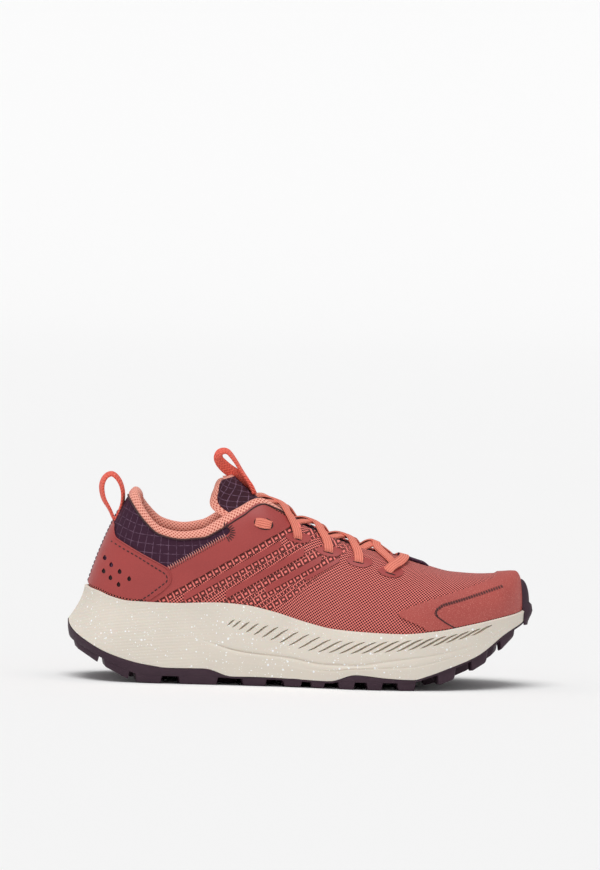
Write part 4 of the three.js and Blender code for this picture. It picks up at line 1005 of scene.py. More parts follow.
@dataclass(frozen=True)
class KnitFinish(Finish):
    """Spacer knit over foam: soft, with small open cells in staggered rows."""

    sockets: Sequence[tuple[str, float]] = (("Sheen Weight", 0.2), ("Sheen Roughness", 0.4))
    gap_colour: str = "E47E6A"
    cell: float = 2.2

    def look(self, node: Nodes) -> Look:
        """Open cells, deeper and darker than the yarn."""
        x, y, _ = self.axes(node, self.cell)
        gaps = node("MapRange", node("MULTIPLY", wave(node, x), wave(node, y)), 0.1, 0.6)
        return blend(node, gaps, self.colour, self.gap_colour), node("SUBTRACT", 1.0, gaps), 0.3


@dataclass(frozen=True)
class BraidFinish(Finish):
    """Flat braid of polyester yarn, for laces and webbing: ribs that meet in chevrons."""

    sockets: Sequence[tuple[str, float]] = (("Sheen Weight", 0.05), ("Specular IOR Level", 0.3))
    shade_colour: str = "C9604F"
    rib: float = 1.1
    slant: float = 0.6
    depth: float = 0.3
    lengthwise: bool = False
    chevron: float = 1.4

    def look(self, node: Nodes) -> Look:
        """Ribs across the band, or along it, with shade between them."""
        across, along = self.axes(node, 1.0)[:2][::1 if self.lengthwise else -1]
        bent = node("MULTIPLY_ADD", node("PINGPONG", across, self.chevron), self.slant, along)
        ribs = wave(node, bent, self.rib)
        shade = node("MapRange", ribs, -1.0, -0.2, 0.75, 0.0)
        level = node("MapRange", ribs, -1.0, 1.0)
        return blend(node, shade, self.colour, self.shade_colour), level, self.depth


@dataclass(frozen=True)
class ThreadAndShadeFinish(Finish):
    """Twisted polyester sewing thread; the same plain finish also makes the dark backing cloth, the painted
    shade in the eyelet slots and the painted shadow along the collar's edge.
    """

    sockets: Sequence[tuple[str, float]] = (("Sheen Weight", 0.2),)

    def look(self, node: Nodes) -> Look:
        """The thread's own colour, with the relief of its twist."""
        return None, self.noise(node, 0.35, 1.0), 0.08


class Palette:
    """The finishes of this shoe, each built once."""

    def __init__(self) -> None:
        """Builds all the materials."""
        self.mesh = MeshFinish("Warp-knitted polyester mesh", "FA7F77", 0.85).build()
        self.film = FilmFinish("Hot-pressed TPU film", "AD4845", 0.48).build()
        self.toe = FilmFinish("Pebbled TPU toe film", "B8554E", 0.55, speckle=0.4).build()
        self.foam = FoamFinish("Moulded EVA foam", "EAE1D4", 0.8).build()
        self.rubber = RubberFinish("Pressed carbon rubber", "3D2935", 0.62).build()
        self.ripstop = RipstopFinish("Woven nylon ripstop", "3F2034", 0.75, square=5.4, contrast=0.6).build()
        self.ripstop_tongue = RipstopFinish("Woven nylon ripstop, on the bias", "42222F", 0.7, square=3.9,
                                            turn=38.0, contrast=1.2).build()
        # the lining's knit is lighter than the collar's: painted light for the inside of the shoe, which lies
        # in shade
        self.knit = KnitFinish("Spacer knit lining", "FFC3AD", 0.9).build()
        self.collar = KnitFinish("Spacer knit, collar and tongue", "FFB29E", 0.9, gap_colour="C65A4A",
                                 cell=2.3).build()
        self.lace = BraidFinish("Flat polyester braid", "FF957F", 0.8, shade_colour="C65A4C", rib=1.45,
                                slant=0.12, depth=0.4, lengthwise=True).build()
        self.webbing = BraidFinish("Polyester webbing", "FF735F", 0.7, shade_colour="D0443C", rib=2.0,
                                   slant=1.0, depth=0.35).build()
        self.dark_thread, self.plum_thread, self.pale_thread, self.dark_cloth_and_slot_shade = (
            ThreadAndShadeFinish(name, colour, roughness).build() for name, colour, roughness in (
                # the dark thread also paints the shadow line along the collar's edge
                ("Dark polyester thread", "3C1216", 0.7), ("Plum polyester thread", "43283C", 0.7),
                # the near-black backing cloth also paints the shade in the open eyelet slots
                ("Pale polyester thread", "E59A8E", 0.7), ("Dark backing cloth", "2A1216", 0.95)))


# ---- pieces of the shoe


def dress(obj: Piece, material: bpy.types.Material, slot: str, *nodes: str,
          degrees: float = 40) -> Piece:
    """Finishes a piece: its material, its shading, its body and the CAD nodes it stands for.

    Args:
        obj: the piece.
        material: its finish.
        slot: the record's material slot; not used.
        *nodes: CAD nodes that it replaces.
        degrees: beyond this angle an edge stays sharp.

    Returns:
        The piece.
    """
    obj.data.materials.clear()
    obj.data.materials.append(material)
    soften(obj, degrees)
    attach(obj, "root")
    if nodes:
        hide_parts(*nodes)
    triangles = sum(len(p.vertices) - 2 for p in obj.data.polygons)
    LOG.info("%s: %d triangles, %s", obj.name, triangles, material.name)
    return obj


def skin_uv(turns: Points, levels: Points, distance: float = 0) -> Points:
    """Places in mm along and up the skin, for woven patterns.

    Args:
        turns: array (columns,).
        levels: array (rows,).
        distance: how far outside the upper.

    Returns:
        Array (rows, columns, 2).
    """
    middle = FORM.skin(turns, np.full_like(turns, 0.35), distance)
    run = lengths(middle)
    grid = FORM.skin(turns[None], levels[:, None], distance)
    climb = np.cumsum(np.linalg.norm(np.diff(grid, axis=0), axis=-1), axis=0)
    climb = np.concatenate([np.zeros((1, len(turns))), climb])
    return np.stack([np.broadcast_to(run, climb.shape), climb], -1)


EYELETS = ((38.3, 98.0), (59.0, 90.6), (78.2, 82.8), (96.8, 77.0), (116.0, 71.4))  # seen from the side
BOTH_SIDES = (-80.0, 80.0)  # a cut right through the shoe
COLLAR_END = 0.492  # share of the length where the collar's roll runs out


@dataclass
class Upper:
    """Hollow mesh upper with its lining, and everything laid and sewn on it."""

    palette: Palette
    film: float = 0.75
    lift: float = 0.12
    rise: float = math.radians(30.2)
    counter_outline: Line = (
        (-90, 0), (-31, 0), (-31.5, 46), (-30, 50), (-22.5, 55.5), (-17.2, 60.5), (-16.6, 65.2),
        (-19.6, 69.4), (-37.4, 78.3), (-51.0, 86.0), (-53.4, 90.0), (-53.0, 97.2), (-90, 97.2))
    toe_outline: Line = (
        (142.7, 0), (142.7, 34.5), (139.9, 36.7), (135.0, 39.9), (127.9, 42.6), (123.0, 45.0), (121.7, 46.6),
        (122.8, 48.2), (131.4, 51.8), (142.0, 55.5), (155.4, 59.5), (166.6, 63.2), (177.2, 66.6),
        (182.0, 69.2), (183.4, 72.4), (183.4, 90), (240, 90), (240, 0))
    ankle_outline: Line = (
        (-90, 70), (-19, 66), (-9.2, 75.4), (0, 80.9), (9.2, 86.4), (16.0, 90.2), (19.2, 92.4), (18.9, 95.2),
        (15, 99), (10, 104), (-10, 112), (-30, 130), (-90, 130))
    field_outline: Line = (
        (-40, 0), (-40, 60), (-24, 70), (-17.0, 71.2), (-9.2, 75.8), (0, 81.3), (9.2, 86.8), (15.6, 90.6),
        (18.2, 92.6), (17.6, 95.0), (13.5, 97.4), (22.1, 103.5), (30.6, 109.5), (35.6, 110.9), (42.9, 107.8),
        (50.3, 103.6), (57, 100.6), (56.0, 98.6), (52.8, 96.1), (-23.3, 51.8), (-31, 47), (-31, 0))
    hole_backing: Line = ((-62, 55), (-40, 56), (-38, 66), (-52, 79), (-62, 79))
    holes: Line = ((-58.2, 74.1), (-54.0, 70.3), (-48.6, 66.6), (-42.6, 62.6), (-58.6, 66.1), (-54.2, 62.5),
                   (-49.0, 58.8))
    # slanting bars: ends along the shoe, level across the rise and half width
    bar_rows: Line = ((-9.2, 49.0, 49.9, 1.75), (16.4, 63.6, 39.1, 1.95), (40.5, 74.0, 30.2, 1.75),
                      (64.5, 85.1, 24.4, 1.15))
    patch: Line = ((-8.2, 1.2), (-6.0, -1.2), (-1.5, -3.1), (4.0, -3.6), (7.6, -2.4), (8.8, -0.6),
                   (8.0, 1.2), (3.5, 2.2), (-4.0, 2.6))
    counter_line: Line = ((-53.6, 84.0), (-37.4, 75.8), (-21.6, 66.8), (-19.6, 64.4), (-19.8, 61.6),
                          (-30.8, 52.7), (-35.5, 49.8))
    toe_line: Line = ((184.2, 62.9), (173.7, 59.6), (159.6, 55.3), (148.3, 52.2), (144.6, 49.6),
                      (143.6, 47.2), (144.6, 45.2), (149.8, 41.6), (157.4, 37.6))
    zigzag: Line = ((-18.6, 70.4), (-9.2, 76.0), (0, 81.5), (9.2, 87.0), (15.2, 90.5))
    welt_line: Line = ((-53.4, 90.5), (-51.2, 86.3), (-37.4, 78.7), (-19.8, 69.9), (-17.0, 65.4),
                       (-17.6, 60.8), (-22.9, 55.5), (-30.2, 50.2), (-31.0, 47.5))
    panel_tip: tuple[float, float] = (14.6, 92.2)

    def build(self) -> None:
        """Builds the shell and all that is on it."""
        self.shell()
        self.ankle_panel()
        self.counter()
        self.toe_cap()
        for side in Side:
            self.quarter(side)
        self.collar()
        for side in Side:
            self.seams(side)
        self.heel_whip()

    def shell(self) -> None:
        """The mesh wall, with the knit lining inside."""
        turns = np.linspace(0, 2, 2 * 170 + 1)
        levels = np.concatenate([np.linspace(-1, 0, 7)[:-1], np.linspace(0, 1, 44)])
        grid_u, grid_t = np.meshgrid(turns, levels)
        outer = FORM.skin(grid_u, grid_t)
        uv = skin_uv(turns, levels)
        shell = sheet("upper_mesh", outer, uv)
        lining = sheet("upper_lining", FORM.skin(grid_u, grid_t, -FORM.wall_at(grid_u, grid_t) + 0.6), uv)
        thicken(shell, 0.9, outwards=False)
        thicken(lining, 0.6, outwards=False)
        dress(shell, self.palette.mesh, "mesh", "upper", degrees=60)
        # the lining takes the lighter knit, painted light for the shaded inside
        dress(lining, self.palette.knit, "knit", degrees=60)

    def overlay(self, name: str, outline: Points, ends: tuple[float, float], span: tuple[float, float],
                levels: tuple[float, float], lift: float, thick: float) -> Piece:
        """A thin sheet over the skin, cut to an outline in side view.

        Args:
            name: the piece's name.
            outline: array (n, 2) of (x, z) in mm.
            ends: both ends of the cut in Y.
            span: first and last turn.
            levels: lowest and highest level.
            lift: how far its under side lies from the mesh, in mm.
            thick: its thickness in mm.

        Returns:
            The new piece.
        """
        turns = np.linspace(*span, max(24, int((span[1] - span[0]) * 190)))
        rows = np.linspace(*levels, 46)
        grid_u, grid_t = np.meshgrid(turns, rows)
        obj = thicken(sheet(name, FORM.skin(grid_u, grid_t, lift), skin_uv(turns, rows, lift)), thick)
        return carve(obj, prism(outline, *ends), "INTERSECT")

    def ankle_panel(self) -> None:
        """Ripstop round the ankle, under the counter and the quarter films."""
        panel = self.overlay("ankle_panel", rounded(self.ankle_outline), BOTH_SIDES, (-0.47, 0.47),
                             (0.1, 0.99), self.lift, 0.35)
        dress(panel, self.palette.ripstop, "ripstop")

    def counter(self) -> None:
        """Heel counter film with its small drop-shaped holes, and a dark cloth behind them."""
        film = self.overlay("heel_counter_film", rounded(self.counter_outline), BOTH_SIDES, (-0.36, 0.36),
                            (0.02, 0.9), self.lift + 0.3, self.film)
        for x, z in self.holes:
            drop = [(x + 1.2 * math.cos(a) - 0.25, z + 1.4 * math.sin(a) + (0.5 if math.sin(a) > 0.9 else 0))
                    for a in np.linspace(0, math.tau, 13)[:-1]]
            carve(film, prism(drop, *BOTH_SIDES), "DIFFERENCE")
        dress(film, self.palette.film, "film", "heel_counter")
        backing = self.overlay("counter_backing", rounded(self.hole_backing), BOTH_SIDES, (-0.3, 0.3),
                               (0.05, 0.8), self.lift, 0.3)
        dress(backing, self.palette.dark_cloth_and_slot_shade, "film")

    def toe_cap(self) -> None:
        """Pebbled film over the toe."""
        film = self.overlay("toe_cap_film", rounded(self.toe_outline), BOTH_SIDES, (0.6, 1.4), (0.01, 1),
                            self.lift, self.film + 0.15)
        dress(film, self.palette.toe, "film", "toe_cap")

    def quarter(self, side: Side) -> None:
        """Quarter film of a side: the plain field, the slanting bars and the eyelets' patches."""
        ends = (-80.0, 0.0) if side is Side.LATERAL else (0.0, 80.0)
        span = (0.24, 0.7) if side is Side.LATERAL else (1.3, 1.76)
        sine, cosine = math.sin(self.rise), math.cos(self.rise)
        bars = [[(x, (level + edge * half + x * sine) / cosine)
                 for x, edge in ((low, -1), (high, -1), (high, 1), (low, 1))]
                for low, high, level, half in self.bar_rows]
        patches = [[(x + dx, z + dz) for dx, dz in self.patch] for x, z in EYELETS[1:]]
        parts = [self.overlay("part", rounded(outline, radius), ends, span, levels, self.lift,
                              self.film * thick)
                 for outlines, radius, levels, thick in (
                     ([self.field_outline], 1.0, (0.0, 0.995), 1.0), (bars, 0.7, (0.0, 0.97), 0.8),
                     (patches, 1.5, (0.3, 0.985), 0.5))
                 for outline in outlines]
        name = "quarter_" + side.name.lower()
        dress(join(name + "_film", parts), self.palette.film, "film", name)

    def collar(self) -> None:
        """Padded knit roll over the top edge, from the throat round the heel and back, with a dark cord along
        the film's border for its dark cut edge and the painted shadow line beside it.
        """
        span = float(station_at(COLLAR_END))
        turns = np.linspace(-span, span, 300)
        along, brim = along_at(FORM.station(turns)), np.ones_like(turns)
        widths = np.interp(along, [0, 0.1, 0.25, 0.33, 0.39, 0.43, 0.455, 0.475, COLLAR_END],
                           [4.4, 3.6, 3.6, 5.2, 5.4, 4.2, 3.6, 2.2, 1.0])
        top, out = FORM.upper_point(turns, brim), FORM.normal(turns, brim)
        height = np.linalg.norm(top - FORM.upper_point(turns, brim * 0.8), axis=-1) / 0.2
        border = 1 - widths / height
        wall = FORM.wall_at(turns, brim)
        puff = np.interp(along, [0, 0.15, 0.4, 0.46, COLLAR_END], [1.2, 0.95, 0.95, 0.7, 0.15])
        rows = []
        for share in np.linspace(0, 1, 9)[:-1]:
            bulge = puff * (0.25 + 0.75 * math.sin(math.pi / 2 * min(1, share * 2.2)))
            rows.append(FORM.skin(turns, border + (1 - border) * share, bulge))
        up = unit(top - FORM.upper_point(turns, brim * 0.97))
        radius = wall / 2 + puff
        for angle in np.linspace(0, math.pi, 13):
            rows.append(top + out * (-wall / 2 + radius * math.cos(angle))[:, None]
                        + up * (radius * 0.85 * math.sin(angle))[:, None])
        for share in np.linspace(1, 0.55, 8)[1:]:
            inside = brim - (1 - share) * 0.6
            rows.append(FORM.skin(turns, inside, -FORM.wall_at(turns, inside) - puff * 0.5 * (share - 0.45)))
        rows += [rows[0] - out * (wall * 0.3)[:, None], rows[0]]
        points = np.stack(rows)
        around = np.cumsum(np.linalg.norm(np.diff(points, axis=0), axis=-1).mean(axis=1))
        uv = np.stack(np.meshgrid(lengths(top), np.concatenate([[0], around])), -1)
        roll = sheet("collar_roll", points, uv, True, bpy.ops.mesh.edge_face_add)
        dress(roll, self.palette.collar, "knit", degrees=70)
        # dark cord along the film's border: the film's dark cut edge, with the painted shadow line beside it
        places = FORM.skin(turns, border, self.lift + self.film)
        edge = self.tube("collar_edge_and_shadow", places, FORM.normal(turns, border), 0.5)
        dress(edge, self.palette.dark_thread, "lace", degrees=60)

    def tube(self, name: str, path: Points, out: Points, radius: float) -> Piece:
        """A thin round cord along a path, pointed at both ends.

        Args:
            name: the piece's name.
            path: array (n, 3) in mm.
            out: array (n, 3), the way that the skin under it faces.
            radius: its radius in mm.

        Returns:
            The new piece.
        """
        beside = unit(np.cross(out, np.gradient(path, axis=0)))
        order = np.arange(len(path))
        radii = radius * np.minimum(1, np.minimum(order, order[::-1]) / 2 + 0.05)
        rows = [path + (beside * math.cos(a) + out * math.sin(a)) * radii[:, None]
                for a in np.linspace(0, math.tau, 9)]
        return sheet(name, np.stack(rows), outward=True)

    def stitch_line(self, name: str, side: Side, seen: Line, height: float, size: Sequence[float],
                    spacing: float, thread: bpy.types.Material, across: bool = False, tag: str = "") -> None:
        """A row of stitches along a line in side view.

        Args:
            name: the piece's name before its side.
            side: side of the shoe.
            seen: points (x, z) of the line.
            height: how far over the overlays' under side the stitches lie, in mm.
            size: length, width and height of a stitch.
            spacing: distance from stitch to stitch.
            thread: the thread.
            across: whether the stitches lie across the line.
            tag: its name after the side.
        """
        spots = FORM.locate(side, evenly(np.array(seen, dtype=float), spacing))
        places, out = pins(spots, self.lift + height)
        run = level(unit(np.gradient(places, axis=0)), out)
        beside = np.cross(out, run)
        axes = np.stack([beside, run, out] if across else [run, beside, out], 1)
        dress(scatter(name + "_" + side.name.lower() + tag, places, axes, size), thread, "lace")

    def fan(self, side: Side) -> None:
        """Bar tack that fans out round the tip of the ankle panel."""
        x, z = self.panel_tip
        rays, height = np.radians(np.linspace(-62, 92, 11)), self.lift + self.film + 0.05
        inner, outer = (FORM.locate(side, [(x + (5.0 + far) * math.cos(a), z + (4.6 + far) * math.sin(a))
                                           for a in rays]) for far in (0, 1))
        places, out = pins(inner, height)
        ray = level(pins(outer, height)[0] - places, out)
        axes = np.stack([ray, np.cross(out, ray), out], 1)
        dress(scatter("tip_fan_" + side.name.lower(), places, axes, (3.8, 0.75, 0.5)),
              self.palette.dark_thread, "lace")

    def seams(self, side: Side) -> None:
        """Stitching of the counter, the toe cap and the edge of the quarter film on a side."""
        dark, film = self.palette.dark_thread, self.film
        self.stitch_line("counter_seam", side, self.counter_line, film + 0.35, (2.2, 0.8, 0.6), 2.8, dark)
        for row, (shift, size) in enumerate(((0.0, (1.6, 0.5, 0.4)), (1.2, (1.6, 0.5, 0.4)),
                                             (0.6, (2.0, 0.8, 0.2)))):
            line = [(x + shift * 0.5, z - shift) for x, z in self.toe_line[:5]]
            line += [(x + shift, z - shift * 0.2) for x, z in self.toe_line[5:]]
            self.stitch_line("toe_seam", side, line, film + 0.2, size, 1.6, dark, tag="_%d" % row)
        self.stitch_line("zigzag", side, self.zigzag, film, (2.9, 0.5, 0.6), 1.5, self.palette.pale_thread,
                         True)
        self.stitch_line("zigzag_dark", side, [(x + 0.9, z - 0.9) for x, z in self.zigzag], film,
                         (1.9, 0.55, 0.5), 1.5, dark, True)
        self.fan(side)
        spots = FORM.locate(side, evenly(np.array(self.welt_line), 1.5))
        welt = self.tube("counter_welt_" + side.name.lower(), *pins(spots, self.lift + 0.3 + film), 0.45)
        dress(welt, self.palette.film, "film", degrees=60)

    def heel_whip(self) -> None:
        """Whipped edge up the middle of the heel."""
        levels = np.linspace(0.04, 0.72, 18)
        places, out = pins(np.stack([0 * levels, levels], -1), self.lift + self.film + 0.25)
        run = unit(np.gradient(places, axis=0))
        slant = unit(np.cross(out, run) + run * 0.5)
        axes = np.stack([slant, np.cross(out, slant), out], 1)
        dress(scatter("heel_whip", places, axes, (4.2, 1.3, 1.1)), self.palette.plum_thread, "lace")


@dataclass
class Sole:
    """Midsole foam with its grooves, rubber outsole with lugs and bumper, and the insole."""

    palette: Palette
    plate: float = 2.2
    plate_inset: float = 9
    lug_length: float = 11
    groove_count: int = 25
    heel_lug: tuple[float, float] = (9.9, 9.0)  # half its length and width
    toe_start: float = 140  # from here on the lugs are round
    bumper_heights: tuple[float, float] = (38.5, 66.4)
    bumper_half: float = 7.2
    edge_lugs: Line = (
        (0.04, 1.35), (0.105, 1.45), (0.175, 1.5), (0.283, 2.2), (0.405, 1.4), (0.488, 1.1), (0.543, 0.85),
        (0.605, 0.95), (0.666, 0.92), (0.735, 1.05), (0.822, 1.1), (0.893, 1.02), (0.955, 0.95))
    middle_lugs: Line = (
        (0.13, 1.3), (0.2, 1.2), (0.36, 1.3), (0.44, 1.1), (0.5, 1), (0.56, 1), (0.62, 1), (0.68, 1),
        (0.74, 1.1), (0.805, 1.1), (0.87, 1.1), (0.925, 1))

    def build(self) -> None:
        """Builds foam, rubber and insole."""
        self.midsole()
        self.outsole()
        self.insole()

    def lug_height(self, x: Points | float) -> Points:
        """Height of the lugs at a place along the shoe: low round the heel, tall under the toes."""
        along = (np.asarray(x) + FORM.sole_setback) / FORM.sole_length
        return np.interp(along, [0, 0.03, 0.12, 0.2, 0.6, 0.74, 0.8, 0.93, 1],
                         [1.8, 2.6, 4.2, 4.8, 4.6, 4.8, 7.0, 7.0, 5.5])

    def spine(self, u: Points, z: Points) -> Points:
        """Middle line of the foot, where the ribs of the sole start."""
        along = np.clip(along_at(FORM.station(u)), 0.12, 0.9)
        x = along * FORM.upper_length - FORM.upper_setback
        y = UPPER_PLAN.read("centre", station_at(along)) * FORM.upper_width
        return np.stack([x, y, z], -1)

    def spine_bed(self, u: Points) -> Points:
        """Height of the foot bed over the middle line."""
        along = np.clip(along_at(FORM.station(u)), 0.12, 0.9)
        return BITE_LINE.read("bed", station_at(along)) * FORM.bed_height

    def plate_run(self, u: Points, lift: float) -> Points:
        """Points of the rubber plate from its edge inwards.

        Args:
            u: turns.
            lift: height over the root of the lugs, in mm.

        Returns:
            Array (7, n, 3).
        """
        foot = SOLE_LINES.read("out_rubber", FORM.station(u))[:, None]
        edge = FORM.rim_plan(u) * (1 - foot) + FORM.sole_plan(u) * foot
        spine = self.spine(u, 0 * u)[:, :2]
        inward = spine - edge
        reach = np.linalg.norm(inward, axis=1, keepdims=True)
        start = edge + inward / reach * np.minimum(self.plate_inset, reach * 0.6)
        rows = []
        for share in (0, 0.15, 0.3, 0.5, 0.7, 0.85, 1):
            plan = start + (spine - start) * share
            height = FORM.ground_at(plan[:, 0]) + self.lug_height(plan[:, 0]) + lift
            if share == 0:
                height = np.minimum(height, FORM.sole_line("rubber", u) + lift - self.plate)
            rows.append(raised(plan, height))
        return np.stack(rows)

    def midsole(self) -> None:
        """The foam: flared heel, wave along its side, and the row of slanting grooves."""
        turns = np.linspace(0, 2, 2 * 180 + 1)
        hollow = FORM.grow_plan(FORM.upper_plan, turns, -FORM.tuck + FORM.gap)
        rows = [self.spine(turns, self.spine_bed(turns)), raised(hollow, FORM.bed(turns))]
        out = FORM.grow_plan(FORM.upper_plan, turns, 1.0) - FORM.upper_plan(turns)
        for rise in (0.3, 0.6, 0.85, 1.0):
            point = FORM.tuck_point(turns, np.full_like(turns, rise))
            point[:, :2] += out * FORM.gap
            rows.append(point)
        crown = FORM.grow_plan(FORM.upper_plan, turns, FORM.rim_width / 2)
        rows.append(raised(crown, FORM.bite(turns) + 0.25))
        rows += [*FORM.foam_side(turns, 61), *self.plate_run(turns, self.plate + FORM.gap)]
        foam = carve(sheet("midsole_foam", np.stack(rows), outward=True), self.grooves(), "DIFFERENCE")
        dress(foam, self.palette.foam, "foam", "midsole", degrees=50)

    def grooves(self) -> Piece:
        """Cutter for the slanting grooves of both sides."""
        wedges = []
        for side in Side:
            for k in range(self.groove_count):
                share = k / (self.groove_count - 1)
                x = 20 + 153 * share ** 1.18
                u = np.array(float(FORM.turn_at(side, (x + FORM.sole_setback) / FORM.sole_length)))
                rim, crease = float(FORM.bite(u)), float(FORM.sole_line("crease", u))
                middle = rim - (rim - crease) * (0.4 + 0.08 * math.sin(math.pi * share))
                half = float(np.interp(share, [0, 0.25, 0.5, 0.8, 1], [3.2, 7.0, 9.5, 9.5, 7.5]))
                wedges.append(self.wedge(side, x, middle, half, math.radians(38 - 13 * min(1, share * 2))))
        return join("grooves", wedges)

    def foam_face(self, side: Side, x: Points, z: Points, distance: Points) -> Points:
        """Points on the side of the foam seen at x and z, moved outwards.

        Args:
            side: side of the shoe.
            x: places along, in mm.
            z: heights in mm.
            distance: how far outside the foam.

        Returns:
            Array (n, 3).
        """
        u = FORM.turn_at(side, (x + FORM.sole_setback) / FORM.sole_length)
        rows = FORM.foam_side(np.atleast_1d(u), 60)
        y = np.array([np.interp(-height, -rows[:, i, 2], rows[:, i, 1]) for i, height in enumerate(z)])
        return np.stack([x, y + side.value * distance, z], -1)

    def wedge(self, side: Side, x: float, z: float, half: float, slant: float) -> Piece:
        """One groove: a slender bent lens, widest at its middle.

        Args:
            side: side of the shoe.
            x: place of its middle along the shoe, in mm.
            z: height of its middle.
            half: half its length.
            slant: its rise, in radians.

        Returns:
            The new cutter.
        """
        steps = np.linspace(-1, 1, 11)
        open_part = np.sqrt(np.maximum(0, 1 - steps ** 2))
        run = steps * half
        bow = 0.3 * np.sin(steps * math.pi) * half / 9
        rows = []
        for edge, depth in ((1, 1.5 + 0 * steps), (0, -2.7 * open_part - 0.05), (-1, 1.5 + 0 * steps)):
            across = bow + edge * (0.05 + 1.15 * open_part)
            rows.append(self.foam_face(side, x + math.cos(slant) * run - math.sin(slant) * across,
                                       z + math.sin(slant) * run + math.cos(slant) * across, depth))
        return sheet("groove", np.stack([*rows, rows[0]]), None, True, bpy.ops.mesh.edge_face_add)

    def outsole(self) -> None:
        """Rubber plate, lugs and toe bumper as one piece."""
        turns = np.linspace(0, 2, 2 * 120 + 1)
        foot = SOLE_LINES.read("out_rubber", FORM.station(turns))[:, None]
        rubber, ground = FORM.sole_line("rubber", turns), FORM.sole_line("ground", turns)
        rim, sole = FORM.rim_plan(turns), FORM.sole_plan(turns)
        low = np.minimum(ground + self.lug_height(sole[:, 0]), rubber - 1)
        wall = ((-0.01, rubber), (0.02, rubber - 0.1), (0.03, rubber - 0.5), (0.02, (rubber + low) / 2),
                (-0.04, low + 0.6), (-0.12, low))
        rows = [*self.plate_run(turns, self.plate)[::-1],
                *(raised(rim + (sole - rim) * (foot + out), height) for out, height in wall),
                *self.plate_run(turns, 0.0)[1:]]
        parts = [sheet("plate", np.stack(rows), outward=True)]
        for side in Side:
            parts += [self.lug(side, *lug, 0.66, 1.0, 0.2) for lug in self.edge_lugs]
            parts += [self.lug(side, *lug, 0.14, 0.48, -0.24) for lug in self.middle_lugs]
        x, y = self.heel_lug
        parts += [self.block([(-x, -y), (x, -y), (x, y), (-x, y)]), self.bumper()]
        dress(join("outsole_rubber", parts), self.palette.rubber, "rubber", "outsole", degrees=35)

    def lug(self, side: Side, along: float, length: float, inner: float, outer: float,
            sweep: float) -> Piece:
        """One lug of a row.

        Args:
            side: side of the shoe.
            along: its place along the sole.
            length: in shares of the lug length.
            inner: where it starts, as a share of the half width.
            outer: where it ends.
            sweep: how far its outer end is swept forward, in shares of the lug length.

        Returns:
            The new piece.
        """
        reach, lean = length * self.lug_length / 2, sweep * self.lug_length
        corners = []
        for share, dx in ((inner, -reach), (inner, reach), (outer, reach + lean), (outer, -reach + lean)):
            place = min(0.995, max(0.005, along + dx / FORM.sole_length))
            u = np.array([float(FORM.turn_at(side, place))])
            foot = SOLE_LINES.read("out_rubber", FORM.station(u)) - 0.04
            y = float((FORM.rim_plan(u) * (1 - foot) + FORM.sole_plan(u) * foot)[0, 1])
            centre = float(SOLE_PLAN.read("centre", FORM.station(u))[0]) * FORM.ball_width
            corners.append((place * FORM.sole_length - FORM.sole_setback, centre + (y - centre) * share))
        return self.block(corners)

    def block(self, corners: Line) -> Piece:
        """A lug over four corners, its sides leaning in and its edges eased."""
        deselect()
        bpy.ops.mesh.primitive_cube_add(size=2)
        obj = bpy.context.object
        flat = np.array(corners)
        centre = flat.mean(axis=0)
        order = sorted(range(4), key=lambda i: math.atan2(*(flat[i] - centre)[::-1]))
        by_quadrant = {(-1, -1): order[0], (1, -1): order[1], (1, 1): order[2], (-1, 1): order[3]}
        for vertex in obj.data.vertices:
            corner = flat[by_quadrant[(round(vertex.co.x), round(vertex.co.y))]]
            away = corner - centre
            if vertex.co.z < 0:
                corner = corner - np.sign(away) * np.minimum(1.1, abs(away) / 3)
                height = float(FORM.ground_at(corner[0]))
            else:
                steep = abs(float(FORM.ground_at(corner[0] + 5) - FORM.ground_at(corner[0] - 5))) / 10
                height = float(FORM.ground_at(corner[0]) + self.lug_height(corner[0])) + 0.5
                height += min(0.35, steep) * self.plate + 0.8 * bool(centre[0] > self.toe_start)
            vertex.co = Vector((corner[0], corner[1], height)) * MM
        weld(obj, outward=True)
        easing, segments = (1.7, 4) if centre[0] > self.toe_start else (0.5, 2)
        return apply_modifier(obj, "BEVEL", width=easing * MM, segments=segments, limit_method="NONE")

    def bumper(self) -> Piece:
        """Rubber that climbs over the toe, thin at its edges and thick at its middle."""
        turns = np.linspace(0.78, 1.22, 121)
        rim = FORM.grow_plan(FORM.rim_plan, turns, FORM.gap)
        rubber, bite = FORM.sole_line("rubber", turns), FORM.bite(turns)
        columns = [raised(rim, height) for height in (rubber - 6, rubber, (rubber + bite) / 2, bite)]
        columns += [FORM.skin(turns, np.full_like(turns, at), 0.4) for at in np.linspace(0.06, 0.97, 16)]
        columns = np.stack(columns)
        centre = float(SOLE_PLAN.read("centre", np.array(1.0))) * FORM.ball_width
        low, high = self.bumper_heights
        across, climbs = np.linspace(-1, 1, 29), np.sin(np.linspace(0, 1, 22) * math.pi / 2)
        places = []
        for climb in climbs * 0.997:
            z = low + (high - low) * climb
            ahead, beside = (np.array([np.interp(z, columns[:, i, 2], columns[:, i, axis])
                                       for i in range(len(turns))]) for axis in (0, 1))
            y = centre + self.bumper_half * (1 - climb ** 2.4) ** 0.5 * across
            places.append(np.stack([np.interp(y, beside, ahead), y, np.full_like(y, z)], -1))
        inner = np.stack(places)
        out = unit(np.cross(np.gradient(inner, axis=1), np.gradient(inner, axis=0)))
        across, climb = np.meshgrid(across, climbs)
        thick = 0.1 + 4.3 * (1 - across ** 2) ** 0.5 * (1 - np.minimum(climb, 0.999) ** 5) ** 0.5
        thick *= 0.3 + 0.7 * smooth(climb / 0.35)
        faces = [sheet("front", inner + out * thick[..., None]), sheet("back", (inner - out * 0.5)[:, ::-1])]
        return weld(join("bumper", faces), True, bpy.ops.mesh.bridge_edge_loops)

